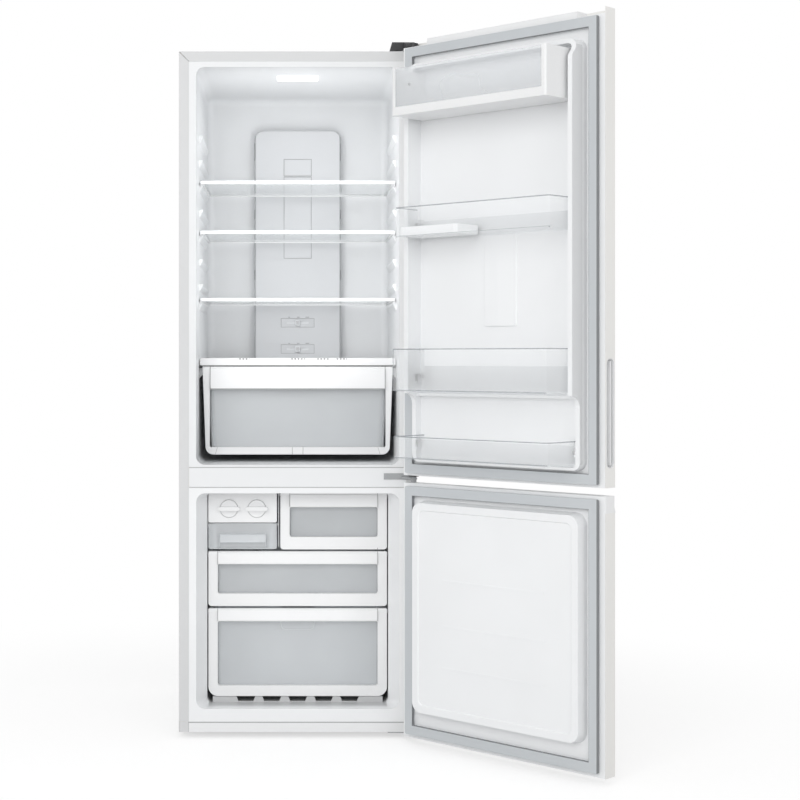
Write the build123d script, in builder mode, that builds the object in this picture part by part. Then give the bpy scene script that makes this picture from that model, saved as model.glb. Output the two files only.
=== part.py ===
"""Bottom freezer refrigerator with both doors standing open. Millimetres, +Z up.

The origin lies on the floor, in the middle of the cabinet's width, under its front edge; the doors
are in front of it, towards -Y. Door pieces are drawn as they lie when closed, and keep() turns them
out about the hinge line.
"""

from build123d import *
from math import cos, pi, sqrt
import os

os.makedirs("parts", exist_ok=True)

# ---------------------------------------------------------------- driving dimensions
CASE_W = 596.0  # cabinet width
CASE_H = 1707.0  # cabinet height above its underside
CASE_D = 600.0  # cabinet depth, front flange to back panel
FOOT_GAP = 15.0  # underside of the base above the floor
SHEET = 0.8  # steel sheet of case and door skins
CASE_FLANGE = 25.0  # front edge of the case, turned in
CASE_EDGE_R = 3.0  # bend between the sides and the top
MITRE_GAP = 0.6
LINER_T = 2.0  # wall of the moulded liners
FLANGE_LAP = 8.0  # liner flange tucked behind the case flange
FIT = 0.3  # clearance where a piece seats on or beside another
PIN_FIT = 0.05  # radial clearance of a pin or shaft in its bore

SIDE_WALL = 43.0  # case side to compartment wall
TOP_WALL = 39.0
BACK_WALL = 72.0
CAVITY_R = 22.0  # compartment corners
THROAT_R = 14.0  # freezer corners behind its mouth
CAVITY_BACK_R = 20.0

RAIL_H = 25.8  # front rail of the base
BASE_T = 1.5
FREEZER_FLOOR = 58.0  # heights above the underside of the base
FREEZER_CEILING = 598.5
MULLION_LOW = 613.0
MULLION_H = 51.0
MULLION_SHEET = 1.2
FRIDGE_FLOOR = 670.0
CRISPER_H = 227.0

FUNNEL_D = 55.0  # depth of the freezer's tapered mouth
FUNNEL_IN = 25.0  # how far its sides draw in
FUNNEL_RISE = 4.0
FREEZER_D = CASE_D - 120.0
BAY_D = 200.0  # compressor bay
BAY_H = 243.0
BAY_INSULATION = 55.0

# ---------------------------------------------------------------- derived cabinet planes
HALF = CASE_W / 2
LOW = FOOT_GAP
TOP = LOW + CASE_H
RAIL_TOP = LOW + RAIL_H
BASE_TOP = LOW + BASE_T
CAV_X = HALF - SIDE_WALL
FRIDGE_Z0 = LOW + FRIDGE_FLOOR
FRIDGE_Z1 = TOP - TOP_WALL
FRIDGE_Y1 = CASE_D - BACK_WALL
MULLION_Z0 = LOW + MULLION_LOW
MULLION_Z1 = MULLION_Z0 + MULLION_H
FREEZER_Z0 = LOW + FREEZER_FLOOR
FREEZER_Z1 = LOW + FREEZER_CEILING
FREEZER_X = CAV_X - FUNNEL_IN
FREEZER_Y1 = FREEZER_D
BAY_Y = CASE_D - BAY_D
BAY_Z = LOW + BAY_H
STEP_Y = BAY_Y - BAY_INSULATION
STEP_Z = BAY_Z + BAY_INSULATION
FOAM_Y0 = SHEET + LINER_T
INNER_X = HALF - SHEET  # inside of the case's side sheets

SPREAD_FROM = FRIDGE_FLOOR + CRISPER_H + 48.0  # heights above this follow the height of the case
SPREAD = (CASE_H - SPREAD_FROM) / 762.0


def level(height):
    """Where a height above the case's underside lies, over the crisper, for this height of case."""
    return LOW + SPREAD_FROM + (height - 945.0) * SPREAD


# ---------------------------------------------------------------- doors
DOOR_OPEN = 135.0  # degrees, the stop at which the doors stand
PIN_X = HALF - 10.0
PIN_Y = -38.0
PIN_R = 4.0
PIN_DEPTH = 18.0  # pin length inside a door cap
DOOR_GAP = 12.0  # door frame to cabinet front, filled by the gasket
DOOR_T = 40.0
DOOR_R = 4.0  # rounded front edges of the skins
CAP_T = 18.0
DOOR_Y1 = -DOOR_GAP
DOOR_Y0 = DOOR_Y1 - DOOR_T
LINER_Y = DOOR_Y1 - LINER_T
HINGE_LINE = Axis((PIN_X, PIN_Y, 0), (0, 0, 1))

UPPER_LOW = LOW + 648.0
UPPER_TOP = TOP + 13.0
POCKET_Z = TOP - 2.0  # floor of the hinge pockets in the top cap
POCKET_W = 76.0
LOWER_LOW = LOW + 1.0
LOWER_TOP = LOW + 629.5
GRIP_H = 38.0  # plastic top of the freezer door
GRIP_SET_BACK = 5.0
GRIP_SLOPE = 13.0

GASKET_IN = 14.0  # door edge to gasket
GASKET_W = 23.5
GASKET_GAP = 0.5  # face of the gasket to the cabinet when closed
GASKET_FOOT_W = 17.5
GASKET_FOOT_T = 4.5

# ---------------------------------------------------------------- shelves and crisper
SHELF_FRONT = 118.0
SHELF_D = CASE_D - 256.0
SHELF_RIM_H = 7.5
GLASS_T = 4.0
SHELF_SIDE_GAP = 3.0
LEDGE_OUT = 8.0  # ledges stand out of the side walls
LEDGE_Y0 = 147.0
LEDGE_L = CASE_D - 298.0
LEDGE_TOP = level(1516.0)  # the highest ledge
LEDGE_PITCH = 64.33 * SPREAD
LEDGE_COUNT = 7
LEDGE_H = 20.0
LOW_SHELF = level(1084.5)  # the shelf over the crisper has a seat of its own
SHELF_SEATS = (LEDGE_TOP - 2 * LEDGE_PITCH, LEDGE_TOP - 4 * LEDGE_PITCH, LOW_SHELF)

DUCT_Y = CASE_D - 110.0
DUCT_W = 243.5
DUCT_TOP = level(1577.0)
DUCT_WALL = 2.5
DUCT_R = 28.0

CRISPER_FRONT = 120.0
CRISPER_TOP = LOW + FRIDGE_FLOOR + CRISPER_H + 19.0
CRISPER_HALF = CAV_X - 9.5
CRISPER_TAPER = 8.5
CRISPER_D = CASE_D - 260.0
CRISPER_PANEL_T = 14.0
CRISPER_BAND_H = 57.0
CRISPER_BAND_HALF = CAV_X - 28.0
CRISPER_SILL = 19.0
COVER_T = 4.0
COVER_LIP_H = 20.0

# ---------------------------------------------------------------- freezer drawers
DRAWER_FRONT = 60.0
DRAWER_PANEL_T = 13.0
DRAWER_SIDE_GAP = 3.0
RUNNER_OUT = 11.0
RIM_T = 4.0
TUB_WALL = 2.5
UPPER_ROW_Z0 = LOW + 451.0
UPPER_ROW_Z1 = LOW + 594.5
MIDDLE_Z0 = LOW + 307.0
MIDDLE_Z1 = LOW + 446.0
LOWER_Z0 = LOW + 78.0
LOWER_Z1 = LOW + 301.0
ICE_X1 = 177.0 - FREEZER_X  # right edge of the ice maker
DRAWER_1_X0 = ICE_X1 + 9.0
ICE_PANEL_Z0 = LOW + 519.5
ICE_BIN_Z0 = LOW + 452.0
ICE_BIN_Z1 = LOW + 518.0
ICE_D = CASE_D - 330.0
DRAWER_D = CASE_D - 270.0
LOWER_D = CASE_D - 350.0
BACK_COVER_Y = CASE_D - 182.0
BACK_COVER_T = 3.0


# ---------------------------------------------------------------- helpers
def keep(builder, name, on_door=False):
    """Names a finished piece and writes it, turned out with its door where it hangs on one."""
    piece = builder.part
    if on_door:
        piece = piece.rotate(HINGE_LINE, DOOR_OPEN)
    piece.label = name
    export_step(piece, f"parts/{name}.step")


def outline(x0, x1, y0, y1, r):
    """A rectangle between two corners, with rounded corners where r is given."""
    with Locations(((x0 + x1) / 2, (y0 + y1) / 2)):
        if r > 0:
            RectangleRounded(x1 - x0, y1 - y0, r)
        else:
            Rectangle(x1 - x0, y1 - y0)


def front_slab(x0, x1, z0, z1, y0, y1, r=0.0, mode=Mode.ADD):
    """A slab that looks like x0..x1 by z0..z1 from the front and runs from y0 to y1."""
    with BuildSketch(Plane.XZ.offset(-y0)) as face:
        outline(x0, x1, z0, z1, r)
    extrude(face.sketch, amount=y1 - y0, dir=(0, 1, 0), mode=mode)


def top_slab(x0, x1, y0, y1, z0, z1, r=0.0, mode=Mode.ADD):
    """A slab that looks like x0..x1 by y0..y1 from above and runs from z0 to z1."""
    with BuildSketch(Plane.XY.offset(z0)) as face:
        outline(x0, x1, y0, y1, r)
    extrude(face.sketch, amount=z1 - z0, mode=mode)


def side_slab(y0, y1, z0, z1, x0, x1, r=0.0, mode=Mode.ADD):
    """A slab that looks like y0..y1 by z0..z1 from the side and runs from x0 to x1."""
    with BuildSketch(Plane.YZ.offset(x0)) as face:
        outline(y0, y1, z0, z1, r)
    extrude(face.sketch, amount=x1 - x0, mode=mode)


def front_prism(points, y0, y1, mode=Mode.ADD):
    """A prism along Y over an outline of (x, z) points."""
    with BuildSketch(Plane.XZ.offset(-y0)) as face:
        Polygon(*points, align=None)
    extrude(face.sketch, amount=y1 - y0, dir=(0, 1, 0), mode=mode)


def side_prism(points, x0, x1, mode=Mode.ADD):
    """A prism along X over an outline of (y, z) points."""
    with BuildSketch(Plane.YZ.offset(x0)) as face:
        Polygon(*points, align=None)
    extrude(face.sketch, amount=x1 - x0, mode=mode)


def top_prism(points, z0, z1, mode=Mode.ADD):
    """A prism along Z over an outline of (x, y) points."""
    with BuildSketch(Plane.XY.offset(z0)) as face:
        Polygon(*points, align=None)
    extrude(face.sketch, amount=z1 - z0, mode=mode)


def post(x, y, z0, z1, r, mode=Mode.ADD):
    """A round post along Z."""
    with BuildSketch(Plane.XY.offset(z0)) as face:
        with Locations((x, y)):
            Circle(r)
    extrude(face.sketch, amount=z1 - z0, mode=mode)


def barrel(x, z, y0, y1, r, mode=Mode.ADD):
    """A round bar along Y."""
    with BuildSketch(Plane.XZ.offset(-y0)) as face:
        with Locations((x, z)):
            Circle(r)
    extrude(face.sketch, amount=y1 - y0, dir=(0, 1, 0), mode=mode)


def axle(y, z, x0, x1, r, mode=Mode.ADD):
    """A round bar along X."""
    with BuildSketch(Plane.YZ.offset(x0)) as face:
        with Locations((y, z)):
            Circle(r)
    extrude(face.sketch, amount=x1 - x0, mode=mode)


def tapered(low, high, z0, z1, r, mode=Mode.ADD):
    """A block that grows from the plan rectangle low at z0 to high at z1; each is (x0, x1, y0, y1)."""
    with BuildSketch(Plane.XY.offset(z0)) as floor:
        outline(*low, r)
    with BuildSketch(Plane.XY.offset(z1)) as rim:
        outline(*high, r)
    loft([floor.sketch.face(), rim.sketch.face()], ruled=True, mode=mode)


def tub(x0, x1, y0, y1, z0, z1, draft, rim_x0, rim_x1, r=14.0):
    """A drawer's tub: drafted walls, a rounded floor edge in plan and a rim that runs on the ledges."""
    top_slab(rim_x0, rim_x1, y0, y1, z1 - RIM_T, z1)
    tapered((x0 + draft, x1 - draft, y0, y1 - draft), (x0, x1, y0, y1), z0, z1, r)
    inside_low = (x0 + draft + TUB_WALL, x1 - draft - TUB_WALL, y0 + TUB_WALL, y1 - draft - TUB_WALL)
    inside_high = (x0 + TUB_WALL, x1 - TUB_WALL, y0 + TUB_WALL, y1 - TUB_WALL)
    tapered(inside_low, inside_high, z0 + TUB_WALL, z1, r - TUB_WALL, mode=Mode.SUBTRACT)


# ---------------------------------------------------------------- compartments
def fridge_space(grow):
    """The upper compartment, with every wall moved out by grow."""
    with BuildPart() as space:
        x = CAV_X + grow
        front_slab(-x, x, FRIDGE_Z0 - grow, FRIDGE_Z1 + grow, 0.0, FRIDGE_Y1 + grow, CAVITY_R + grow)
        fillet(space.faces().sort_by(Axis.Y)[-1].edges(), CAVITY_BACK_R)
    return space.part


def freezer_space(grow):
    """The lower compartment: a tapered mouth, then straight walls with a step over the compressor."""
    z1 = FREEZER_Z1 + grow
    inner_z0 = FREEZER_Z0 + FUNNEL_RISE - grow
    with BuildPart() as space:
        with BuildSketch(Plane.XZ) as mouth:
            outline(-CAV_X - grow, CAV_X + grow, FREEZER_Z0 - grow, z1, CAVITY_R + grow)
        with BuildSketch(Plane.XZ.offset(-FUNNEL_D)) as throat:
            outline(-FREEZER_X - grow, FREEZER_X + grow, inner_z0, z1, THROAT_R + grow)
        loft([mouth.sketch.face(), throat.sketch.face()], ruled=True)
        x = FREEZER_X + grow
        front_slab(-x, x, inner_z0, z1, FUNNEL_D, STEP_Y + grow, THROAT_R + grow)
        front_slab(-x, x, STEP_Z - grow, z1, STEP_Y - THROAT_R, FREEZER_Y1 + grow, THROAT_R + grow)
    return space.part


FRIDGE_INSIDE = fridge_space(0.0)
FRIDGE_OUTSIDE = fridge_space(LINER_T)
FREEZER_INSIDE = freezer_space(0.0)
FREEZER_OUTSIDE = freezer_space(LINER_T)

# ---------------------------------------------------------------- cabinet shell
with BuildPart() as outer_case:
    front_slab(-HALF, HALF, LOW, TOP, 0.0, CASE_D)
    fillet(outer_case.edges().filter_by(Axis.Y).group_by(Axis.Z)[-1], CASE_EDGE_R)
    below = LOW - 10.0
    front_slab(-INNER_X, INNER_X, below, TOP - SHEET, SHEET, CASE_D, CASE_EDGE_R - SHEET, Mode.SUBTRACT)
    mouth_x = HALF - CASE_FLANGE
    front_slab(-mouth_x, mouth_x, LOW, TOP - CASE_FLANGE, 0.0, SHEET, mode=Mode.SUBTRACT)
    front_slab(-INNER_X, INNER_X, LOW, RAIL_TOP + FIT, 0.0, SHEET, mode=Mode.SUBTRACT)
    with BuildSketch(Plane.XZ) as mitres:
        for side in (-1, 1):
            with Locations((side * (HALF - CASE_FLANGE / 2), TOP - CASE_FLANGE / 2)):
                Rectangle(CASE_FLANGE * 1.35, MITRE_GAP, rotation=side * 45)
    extrude(amount=-SHEET, mode=Mode.SUBTRACT)
keep(outer_case, "outer_case")

SWAGE_W = 18.0  # stiffening ribs pressed into the back
SWAGE_OUT = 1.6
with BuildPart() as back_panel:
    back_x = INNER_X - FIT
    panel_z = (BAY_Z + FIT, TOP - SHEET - FIT)
    front_slab(-back_x, back_x, *panel_z, CASE_D - SHEET, CASE_D, CASE_EDGE_R - SHEET)
    for x in (-back_x / 2, back_x / 2):
        swage = (x - SWAGE_W / 2, x + SWAGE_W / 2, BAY_Z + 90.0, TOP - 110.0)
        front_slab(*swage, CASE_D - SHEET, CASE_D + SWAGE_OUT, SWAGE_W * 0.45)
keep(back_panel, "back_panel")

FOOT_X = HALF - 38.0
FOOT_Y = 95.0
FOOT_SLEEVE_R = 8.0
FOOT_SLEEVE_TOP = LOW + 40.0
FOOT_R = 18.0
FOOT_PAD_T = 8.0
ROLLER_X = HALF - 62.0
ROLLER_Y = CASE_D - 42.0
ROLLER_R = 17.0
ROLLER_W = 20.0
ROLLER_PIN_R = 4.0
ROLLER_SIDE_GAP = 1.0
EAR_T = 2.0

with BuildPart() as cabinet_foam:
    foam_r = CASE_EDGE_R - SHEET
    front_slab(-INNER_X, INNER_X, BASE_TOP, TOP - SHEET, FOAM_Y0, CASE_D - SHEET)
    fillet(cabinet_foam.edges().filter_by(Axis.Y).group_by(Axis.Z)[-1], foam_r)
    add(FRIDGE_OUTSIDE, mode=Mode.SUBTRACT)
    add(FREEZER_OUTSIDE, mode=Mode.SUBTRACT)
    front_slab(-INNER_X, INNER_X, BASE_TOP, BAY_Z, BAY_Y - BASE_T, CASE_D, mode=Mode.SUBTRACT)
    for side in (-1, 1):
        pocket_r = FOOT_SLEEVE_R + FIT
        post(side * FOOT_X, FOOT_Y, BASE_TOP, FOOT_SLEEVE_TOP + 10.0, pocket_r, Mode.SUBTRACT)
keep(cabinet_foam, "cabinet_foam")


def ledge(side, wall_x, out, z_top, height, y0, y1):
    """A support on a side wall: flat on top, sloping back to the wall underneath."""
    root = wall_x + LINER_T / 2
    face = wall_x - out
    points = [(root, z_top), (face, z_top), (face, z_top - height * 0.3), (wall_x, z_top - height)]
    points.append((root, z_top - height))
    front_prism([(side * x, z) for x, z in points], y0, y1)


LINER_FLANGE_X = HALF - CASE_FLANGE + FLANGE_LAP
CRISPER_RIM_Z = CRISPER_TOP - RIM_T - FIT
COVER_Z = CRISPER_TOP + 16.0
CRISPER_LEDGE_OUT = 17.0
LOW_LEDGE_Y0 = SHELF_FRONT + 12.0
CRISPER_LEDGE_Y0 = CRISPER_FRONT + CRISPER_PANEL_T + 3.0
SHELF_Y1 = SHELF_FRONT + SHELF_D

with BuildPart() as fridge_liner:
    flange_z1 = TOP - CASE_FLANGE + FLANGE_LAP
    flange_z0 = MULLION_Z1 + FIT
    front_slab(-LINER_FLANGE_X, LINER_FLANGE_X, flange_z0, flange_z1, SHEET, FOAM_Y0)
    add(FRIDGE_OUTSIDE)
    front_slab(-HALF, HALF, LOW, TOP, -1.0, SHEET, mode=Mode.SUBTRACT)
    add(FRIDGE_INSIDE, mode=Mode.SUBTRACT)
    for side in (-1, 1):
        for step in range(LEDGE_COUNT):
            top_of_ledge = LEDGE_TOP - step * LEDGE_PITCH
            ledge(side, CAV_X, LEDGE_OUT, top_of_ledge, LEDGE_H, LEDGE_Y0, LEDGE_Y0 + LEDGE_L)
        ledge(side, CAV_X, LEDGE_OUT, LOW_SHELF, 24.0, LOW_LEDGE_Y0, SHELF_Y1 - 12.0)
        ledge(side, CAV_X, CRISPER_LEDGE_OUT, CRISPER_RIM_Z, 26.0, CRISPER_LEDGE_Y0, SHELF_Y1)
        cover_out = CAV_X - CRISPER_HALF - 1.0
        ledge(side, CAV_X, cover_out, COVER_Z - FIT, 12.0, CRISPER_LEDGE_Y0, SHELF_Y1)
keep(fridge_liner, "fridge_liner")

SILL_Y0 = DRAWER_FRONT + 3.0
SILL_T = 14.0
SILL_TOP = LOWER_Z0 - 1.5
VENT_PITCH = 66.0
VENT_W = 48.0
VENT_LOW_W = 38.0
VENT_H = 12.5
RUNNER_H = 12.0
RUNNER_Y0 = DRAWER_FRONT + DRAWER_PANEL_T + 3.0

with BuildPart() as freezer_liner:
    front_slab(-LINER_FLANGE_X, LINER_FLANGE_X, RAIL_TOP - FLANGE_LAP, MULLION_Z0 - FIT, SHEET, FOAM_Y0)
    add(FREEZER_OUTSIDE)
    front_slab(-HALF, HALF, LOW, TOP, -1.0, SHEET, mode=Mode.SUBTRACT)
    add(FREEZER_INSIDE, mode=Mode.SUBTRACT)
    floor_z = FREEZER_Z0 + FUNNEL_RISE
    sill_x = FREEZER_X - THROAT_R
    front_slab(-sill_x, sill_x, floor_z - LINER_T / 2, SILL_TOP, SILL_Y0, SILL_Y0 + SILL_T)
    for n in range(-2, 3):
        vent_z = SILL_TOP - VENT_H
        low_half = VENT_LOW_W / 2
        high_half = VENT_W / 2
        corners = [(-low_half, vent_z), (low_half, vent_z), (high_half, SILL_TOP), (-high_half, SILL_TOP)]
        vent = [(x + n * VENT_PITCH, z) for x, z in corners]
        front_prism(vent, SILL_Y0 - 1.0, SILL_Y0 + SILL_T + 1.0, Mode.SUBTRACT)
    for side, seat_top, runner_l in (
        (-1, MIDDLE_Z1, DRAWER_D),
        (1, MIDDLE_Z1, DRAWER_D),
        (-1, LOWER_Z1, LOWER_D),
        (1, LOWER_Z1, LOWER_D),
        (1, UPPER_ROW_Z1, DRAWER_D),
    ):
        seat = seat_top - RIM_T - FIT
        ledge(side, FREEZER_X, RUNNER_OUT, seat, RUNNER_H, RUNNER_Y0, RUNNER_Y0 + runner_l)
keep(freezer_liner, "freezer_liner")

with BuildPart() as mullion_cover:
    mullion_x = HALF - CASE_FLANGE - FIT
    front_slab(-mullion_x, mullion_x, MULLION_Z0, MULLION_Z1, 0.0, FOAM_Y0)
    inside_x = mullion_x - MULLION_SHEET
    inside_z = (MULLION_Z0 + MULLION_SHEET, MULLION_Z1 - MULLION_SHEET)
    front_slab(-inside_x, inside_x, *inside_z, MULLION_SHEET, FOAM_Y0, mode=Mode.SUBTRACT)
keep(mullion_cover, "mullion_cover")

# ---------------------------------------------------------------- base and machine bay
with BuildPart() as base_tray:
    tray_x = INNER_X - FIT
    tray_y1 = CASE_D - SHEET - FIT
    top_slab(-tray_x, tray_x, 0.0, tray_y1, LOW, BASE_TOP)
    front_slab(-tray_x, tray_x, LOW, RAIL_TOP, 0.0, SHEET)
    front_slab(-tray_x, tray_x, LOW, BAY_Z, BAY_Y - BASE_T, BAY_Y)
    top_slab(-tray_x, tray_x, BAY_Y - BASE_T, tray_y1, BAY_Z - BASE_T, BAY_Z)
    for side in (-1, 1):
        post(side * FOOT_X, FOOT_Y, LOW, FOOT_SLEEVE_TOP, FOOT_SLEEVE_R)
        post(side * FOOT_X, FOOT_Y, LOW - 1.0, FOOT_SLEEVE_TOP + 1.0, PIN_R + PIN_FIT, Mode.SUBTRACT)
        roller_x = side * ROLLER_X
        half_gap = ROLLER_W / 2 + ROLLER_SIDE_GAP
        slot_l = ROLLER_R + 3.0
        slot_y = (ROLLER_Y - slot_l, ROLLER_Y + slot_l)
        top_slab(roller_x - half_gap, roller_x + half_gap, *slot_y, LOW, BASE_TOP, mode=Mode.SUBTRACT)
        for x in (roller_x - half_gap - EAR_T, roller_x + half_gap):
            side_slab(ROLLER_Y - 9.0, ROLLER_Y + 9.0, ROLLER_R - 7.0, LOW + 22.0, x, x + EAR_T)
        axle(ROLLER_Y, ROLLER_R, roller_x - half_gap, roller_x + half_gap, ROLLER_PIN_R)
keep(base_tray, "base_tray")

for side, name in ((-1, "left"), (1, "right")):
    with BuildPart() as foot:
        post(side * FOOT_X, FOOT_Y, 0.0, FOOT_PAD_T, FOOT_R)
        fillet(foot.edges().group_by(Axis.Z)[-1], 3.0)
        post(side * FOOT_X, FOOT_Y, FOOT_PAD_T, FOOT_SLEEVE_TOP - 2.0, PIN_R)
    keep(foot, f"foot_{name}")

    with BuildPart() as roller:
        roller_x = side * ROLLER_X
        axle(ROLLER_Y, ROLLER_R, roller_x - ROLLER_W / 2, roller_x + ROLLER_W / 2, ROLLER_R)
        chamfer(roller.edges().filter_by(GeomType.CIRCLE), 1.5)
        bore_r = ROLLER_PIN_R + PIN_FIT
        axle(ROLLER_Y, ROLLER_R, roller_x - ROLLER_W, roller_x + ROLLER_W, bore_r, Mode.SUBTRACT)
    keep(roller, f"roller_{name}")

COMPRESSOR_X = 60.0
COMPRESSOR_Y = BAY_Y + BAY_D / 2
GROMMET_R = 10.0
GROMMET_H = 12.0
PLATE_T = 3.0
SHELL_L = 172.0
SHELL_W = 146.0
SHELL_H = 128.0
with BuildPart() as compressor:
    for x in (-88.0, 88.0):
        for y in (-52.0, 52.0):
            post(COMPRESSOR_X + x, COMPRESSOR_Y + y, BASE_TOP, BASE_TOP + GROMMET_H, GROMMET_R)
    plate_z = BASE_TOP + GROMMET_H + FIT
    plate = (COMPRESSOR_X - 102.0, COMPRESSOR_X + 102.0, COMPRESSOR_Y - 66.0, COMPRESSOR_Y + 66.0)
    top_slab(*plate, plate_z, plate_z + PLATE_T, 12.0)
    shell_z = plate_z + PLATE_T
    with BuildSketch(Plane.XY.offset(shell_z)) as shell_plan:
        with Locations((COMPRESSOR_X, COMPRESSOR_Y)):
            RectangleRounded(SHELL_L, SHELL_W, SHELL_W / 2 - 4.0)
    extrude(shell_plan.sketch, amount=SHELL_H)
    fillet(compressor.faces().sort_by(Axis.Z)[-1].edges(), 40.0)
    with BuildSketch(Plane.XY.offset(shell_z + SHELL_H * 0.45)) as seam:
        with Locations((COMPRESSOR_X, COMPRESSOR_Y)):
            RectangleRounded(SHELL_L + 8.0, SHELL_W + 8.0, SHELL_W / 2)
    extrude(seam.sketch, amount=5.0)
    box_x = COMPRESSOR_X - SHELL_L / 2
    box_z = shell_z + 22.0
    side_slab(COMPRESSOR_Y - 28.0, COMPRESSOR_Y + 28.0, box_z, box_z + 52.0, box_x - 34.0, box_x + 12.0, 5.0)
    barrel(box_x - 18.0, box_z + 26.0, COMPRESSOR_Y + 28.0, COMPRESSOR_Y + 42.0, 8.0)
    barrel(box_x - 18.0, box_z + 26.0, COMPRESSOR_Y + 20.0, COMPRESSOR_Y + 43.0, 4.0, Mode.SUBTRACT)
keep(compressor, "compressor")

PAN_Z = shell_z + SHELL_H + FIT
PAN_H = 42.0
with BuildPart() as drain_pan:
    pan_low = (COMPRESSOR_X - 118.0, COMPRESSOR_X + 118.0, BAY_Y + 22.0, CASE_D - 22.0)
    pan_high = (COMPRESSOR_X - 126.0, COMPRESSOR_X + 126.0, BAY_Y + 14.0, CASE_D - 14.0)
    tapered(pan_low, pan_high, PAN_Z, PAN_Z + PAN_H, 12.0)
    inner_low = (pan_low[0] + 2.0, pan_low[1] - 2.0, pan_low[2] + 2.0, pan_low[3] - 2.0)
    inner_high = (pan_high[0] + 2.0, pan_high[1] - 2.0, pan_high[2] + 2.0, pan_high[3] - 2.0)
    tapered(inner_low, inner_high, PAN_Z + 2.0, PAN_Z + PAN_H, 10.0, Mode.SUBTRACT)
keep(drain_pan, "drain_pan")

# ---------------------------------------------------------------- hinges
HINGE_T = 2.5
NOSE_R = 9.0
TOP_PLATE_X0 = HALF - 64.0
with BuildPart() as top_hinge:
    plate_x1 = PIN_X + 3.0
    plate = [
        (TOP_PLATE_X0, 10.0),
        (TOP_PLATE_X0, 84.0),
        (plate_x1, 84.0),
        (plate_x1, PIN_Y),
        (PIN_X - NOSE_R, PIN_Y),
        (PIN_X - 26.0, 4.0),
    ]
    top_prism(plate, TOP, TOP + HINGE_T)
    post(PIN_X, PIN_Y, TOP, TOP + HINGE_T, NOSE_R)
    post(PIN_X, PIN_Y, POCKET_Z - PIN_DEPTH + 1.0, TOP + HINGE_T + 2.0, PIN_R)
keep(top_hinge, "top_hinge")

COVER_H = 23.0
COVER_NOSE_H = 15.0
COVER_WALL = 2.0
with BuildPart() as top_hinge_cover:
    cover_x0 = TOP_PLATE_X0 - 3.0
    cover_x1 = PIN_X + 3.0
    cover_z0 = TOP + FIT
    outer = [(0.0, cover_z0), (0.0, TOP + COVER_H), (90.0, TOP + COVER_H), (96.0, cover_z0)]
    side_prism(outer, cover_x0, cover_x1)
    nose = [(PIN_Y - 8.0, TOP + 10.0), (PIN_Y, TOP + COVER_NOSE_H), (0.1, TOP + COVER_H), (0.1, cover_z0)]
    side_prism(nose + [(PIN_Y - 8.0, cover_z0)], PIN_X - 22.0, cover_x1)
    fillet(top_hinge_cover.edges().filter_by(Axis.Z).group_by(Axis.Y)[0], 6.0)
    fillet(top_hinge_cover.edges().filter_by(Axis.Z).group_by(Axis.X)[0], 4.0)
    lean = [(cover_x0 - 1.0, cover_z0), (cover_x0 - 1.0, TOP + COVER_H + 1.0)]
    lean += [(cover_x0 + 6.0, TOP + COVER_H + 1.0), (cover_x0, cover_z0)]
    front_prism(lean, -1.0, 98.0, Mode.SUBTRACT)
    inner_top = TOP + COVER_H - COVER_WALL
    post(PIN_X, PIN_Y, cover_z0, TOP + COVER_NOSE_H - 3.0, NOSE_R + FIT + COVER_WALL)
    post(PIN_X, PIN_Y, TOP, TOP + COVER_NOSE_H - 5.0, NOSE_R + FIT, Mode.SUBTRACT)
    inner = (cover_x0 + COVER_WALL + 6.0, cover_x1 - COVER_WALL, COVER_WALL, 88.0)
    top_slab(*inner, cover_z0, inner_top, 2.0, Mode.SUBTRACT)
    nose_top = TOP + COVER_NOSE_H - 6.5
    nose_x = (PIN_X - 22.0 + COVER_WALL, cover_x1 - COVER_WALL)
    top_slab(*nose_x, PIN_Y - 8.0 + COVER_WALL, 10.0, cover_z0, nose_top, 2.0, Mode.SUBTRACT)
    slit_z = (TOP, TOP + HINGE_T + FIT)
    top_slab(PIN_X - 40.0, HALF, PIN_Y - 12.0, 1.9, *slit_z, mode=Mode.SUBTRACT)
    top_slab(TOP_PLATE_X0 - FIT, HALF, 1.0, 85.0, *slit_z, mode=Mode.SUBTRACT)
keep(top_hinge_cover, "top_hinge_cover")

ARM_T = 4.0
ARM_Z = LOWER_TOP + 7.0
MID_PLATE_X0 = PIN_X - 72.0
MID_PLATE_Z0 = LOW + 633.3
MID_PLATE_H = 15.6
MID_PLATE_T = 2.0
with BuildPart() as mid_hinge:
    plate_z = (MID_PLATE_Z0, MID_PLATE_Z0 + MID_PLATE_H)
    front_slab(MID_PLATE_X0, PIN_X + 3.0, *plate_z, -MID_PLATE_T, 0.0)
    arm = [(PIN_X - 30.0, -1.0), (PIN_X + 3.0, -1.0), (PIN_X + 3.0, PIN_Y), (PIN_X - NOSE_R, PIN_Y)]
    top_prism(arm, ARM_Z, ARM_Z + ARM_T)
    post(PIN_X, PIN_Y, ARM_Z, ARM_Z + ARM_T, NOSE_R)
    post(PIN_X, PIN_Y, LOWER_TOP + FIT, UPPER_LOW - FIT, NOSE_R - 2.0)
    post(PIN_X, PIN_Y, LOWER_TOP - PIN_DEPTH + 1.0, UPPER_LOW + PIN_DEPTH - 1.0, PIN_R)
    for x in (MID_PLATE_X0 + 12.0, MID_PLATE_X0 + 40.0):
        barrel(x, MID_PLATE_Z0 + MID_PLATE_H / 2, -MID_PLATE_T - 1.6, -MID_PLATE_T, 4.5)
keep(mid_hinge, "mid_hinge")

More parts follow.
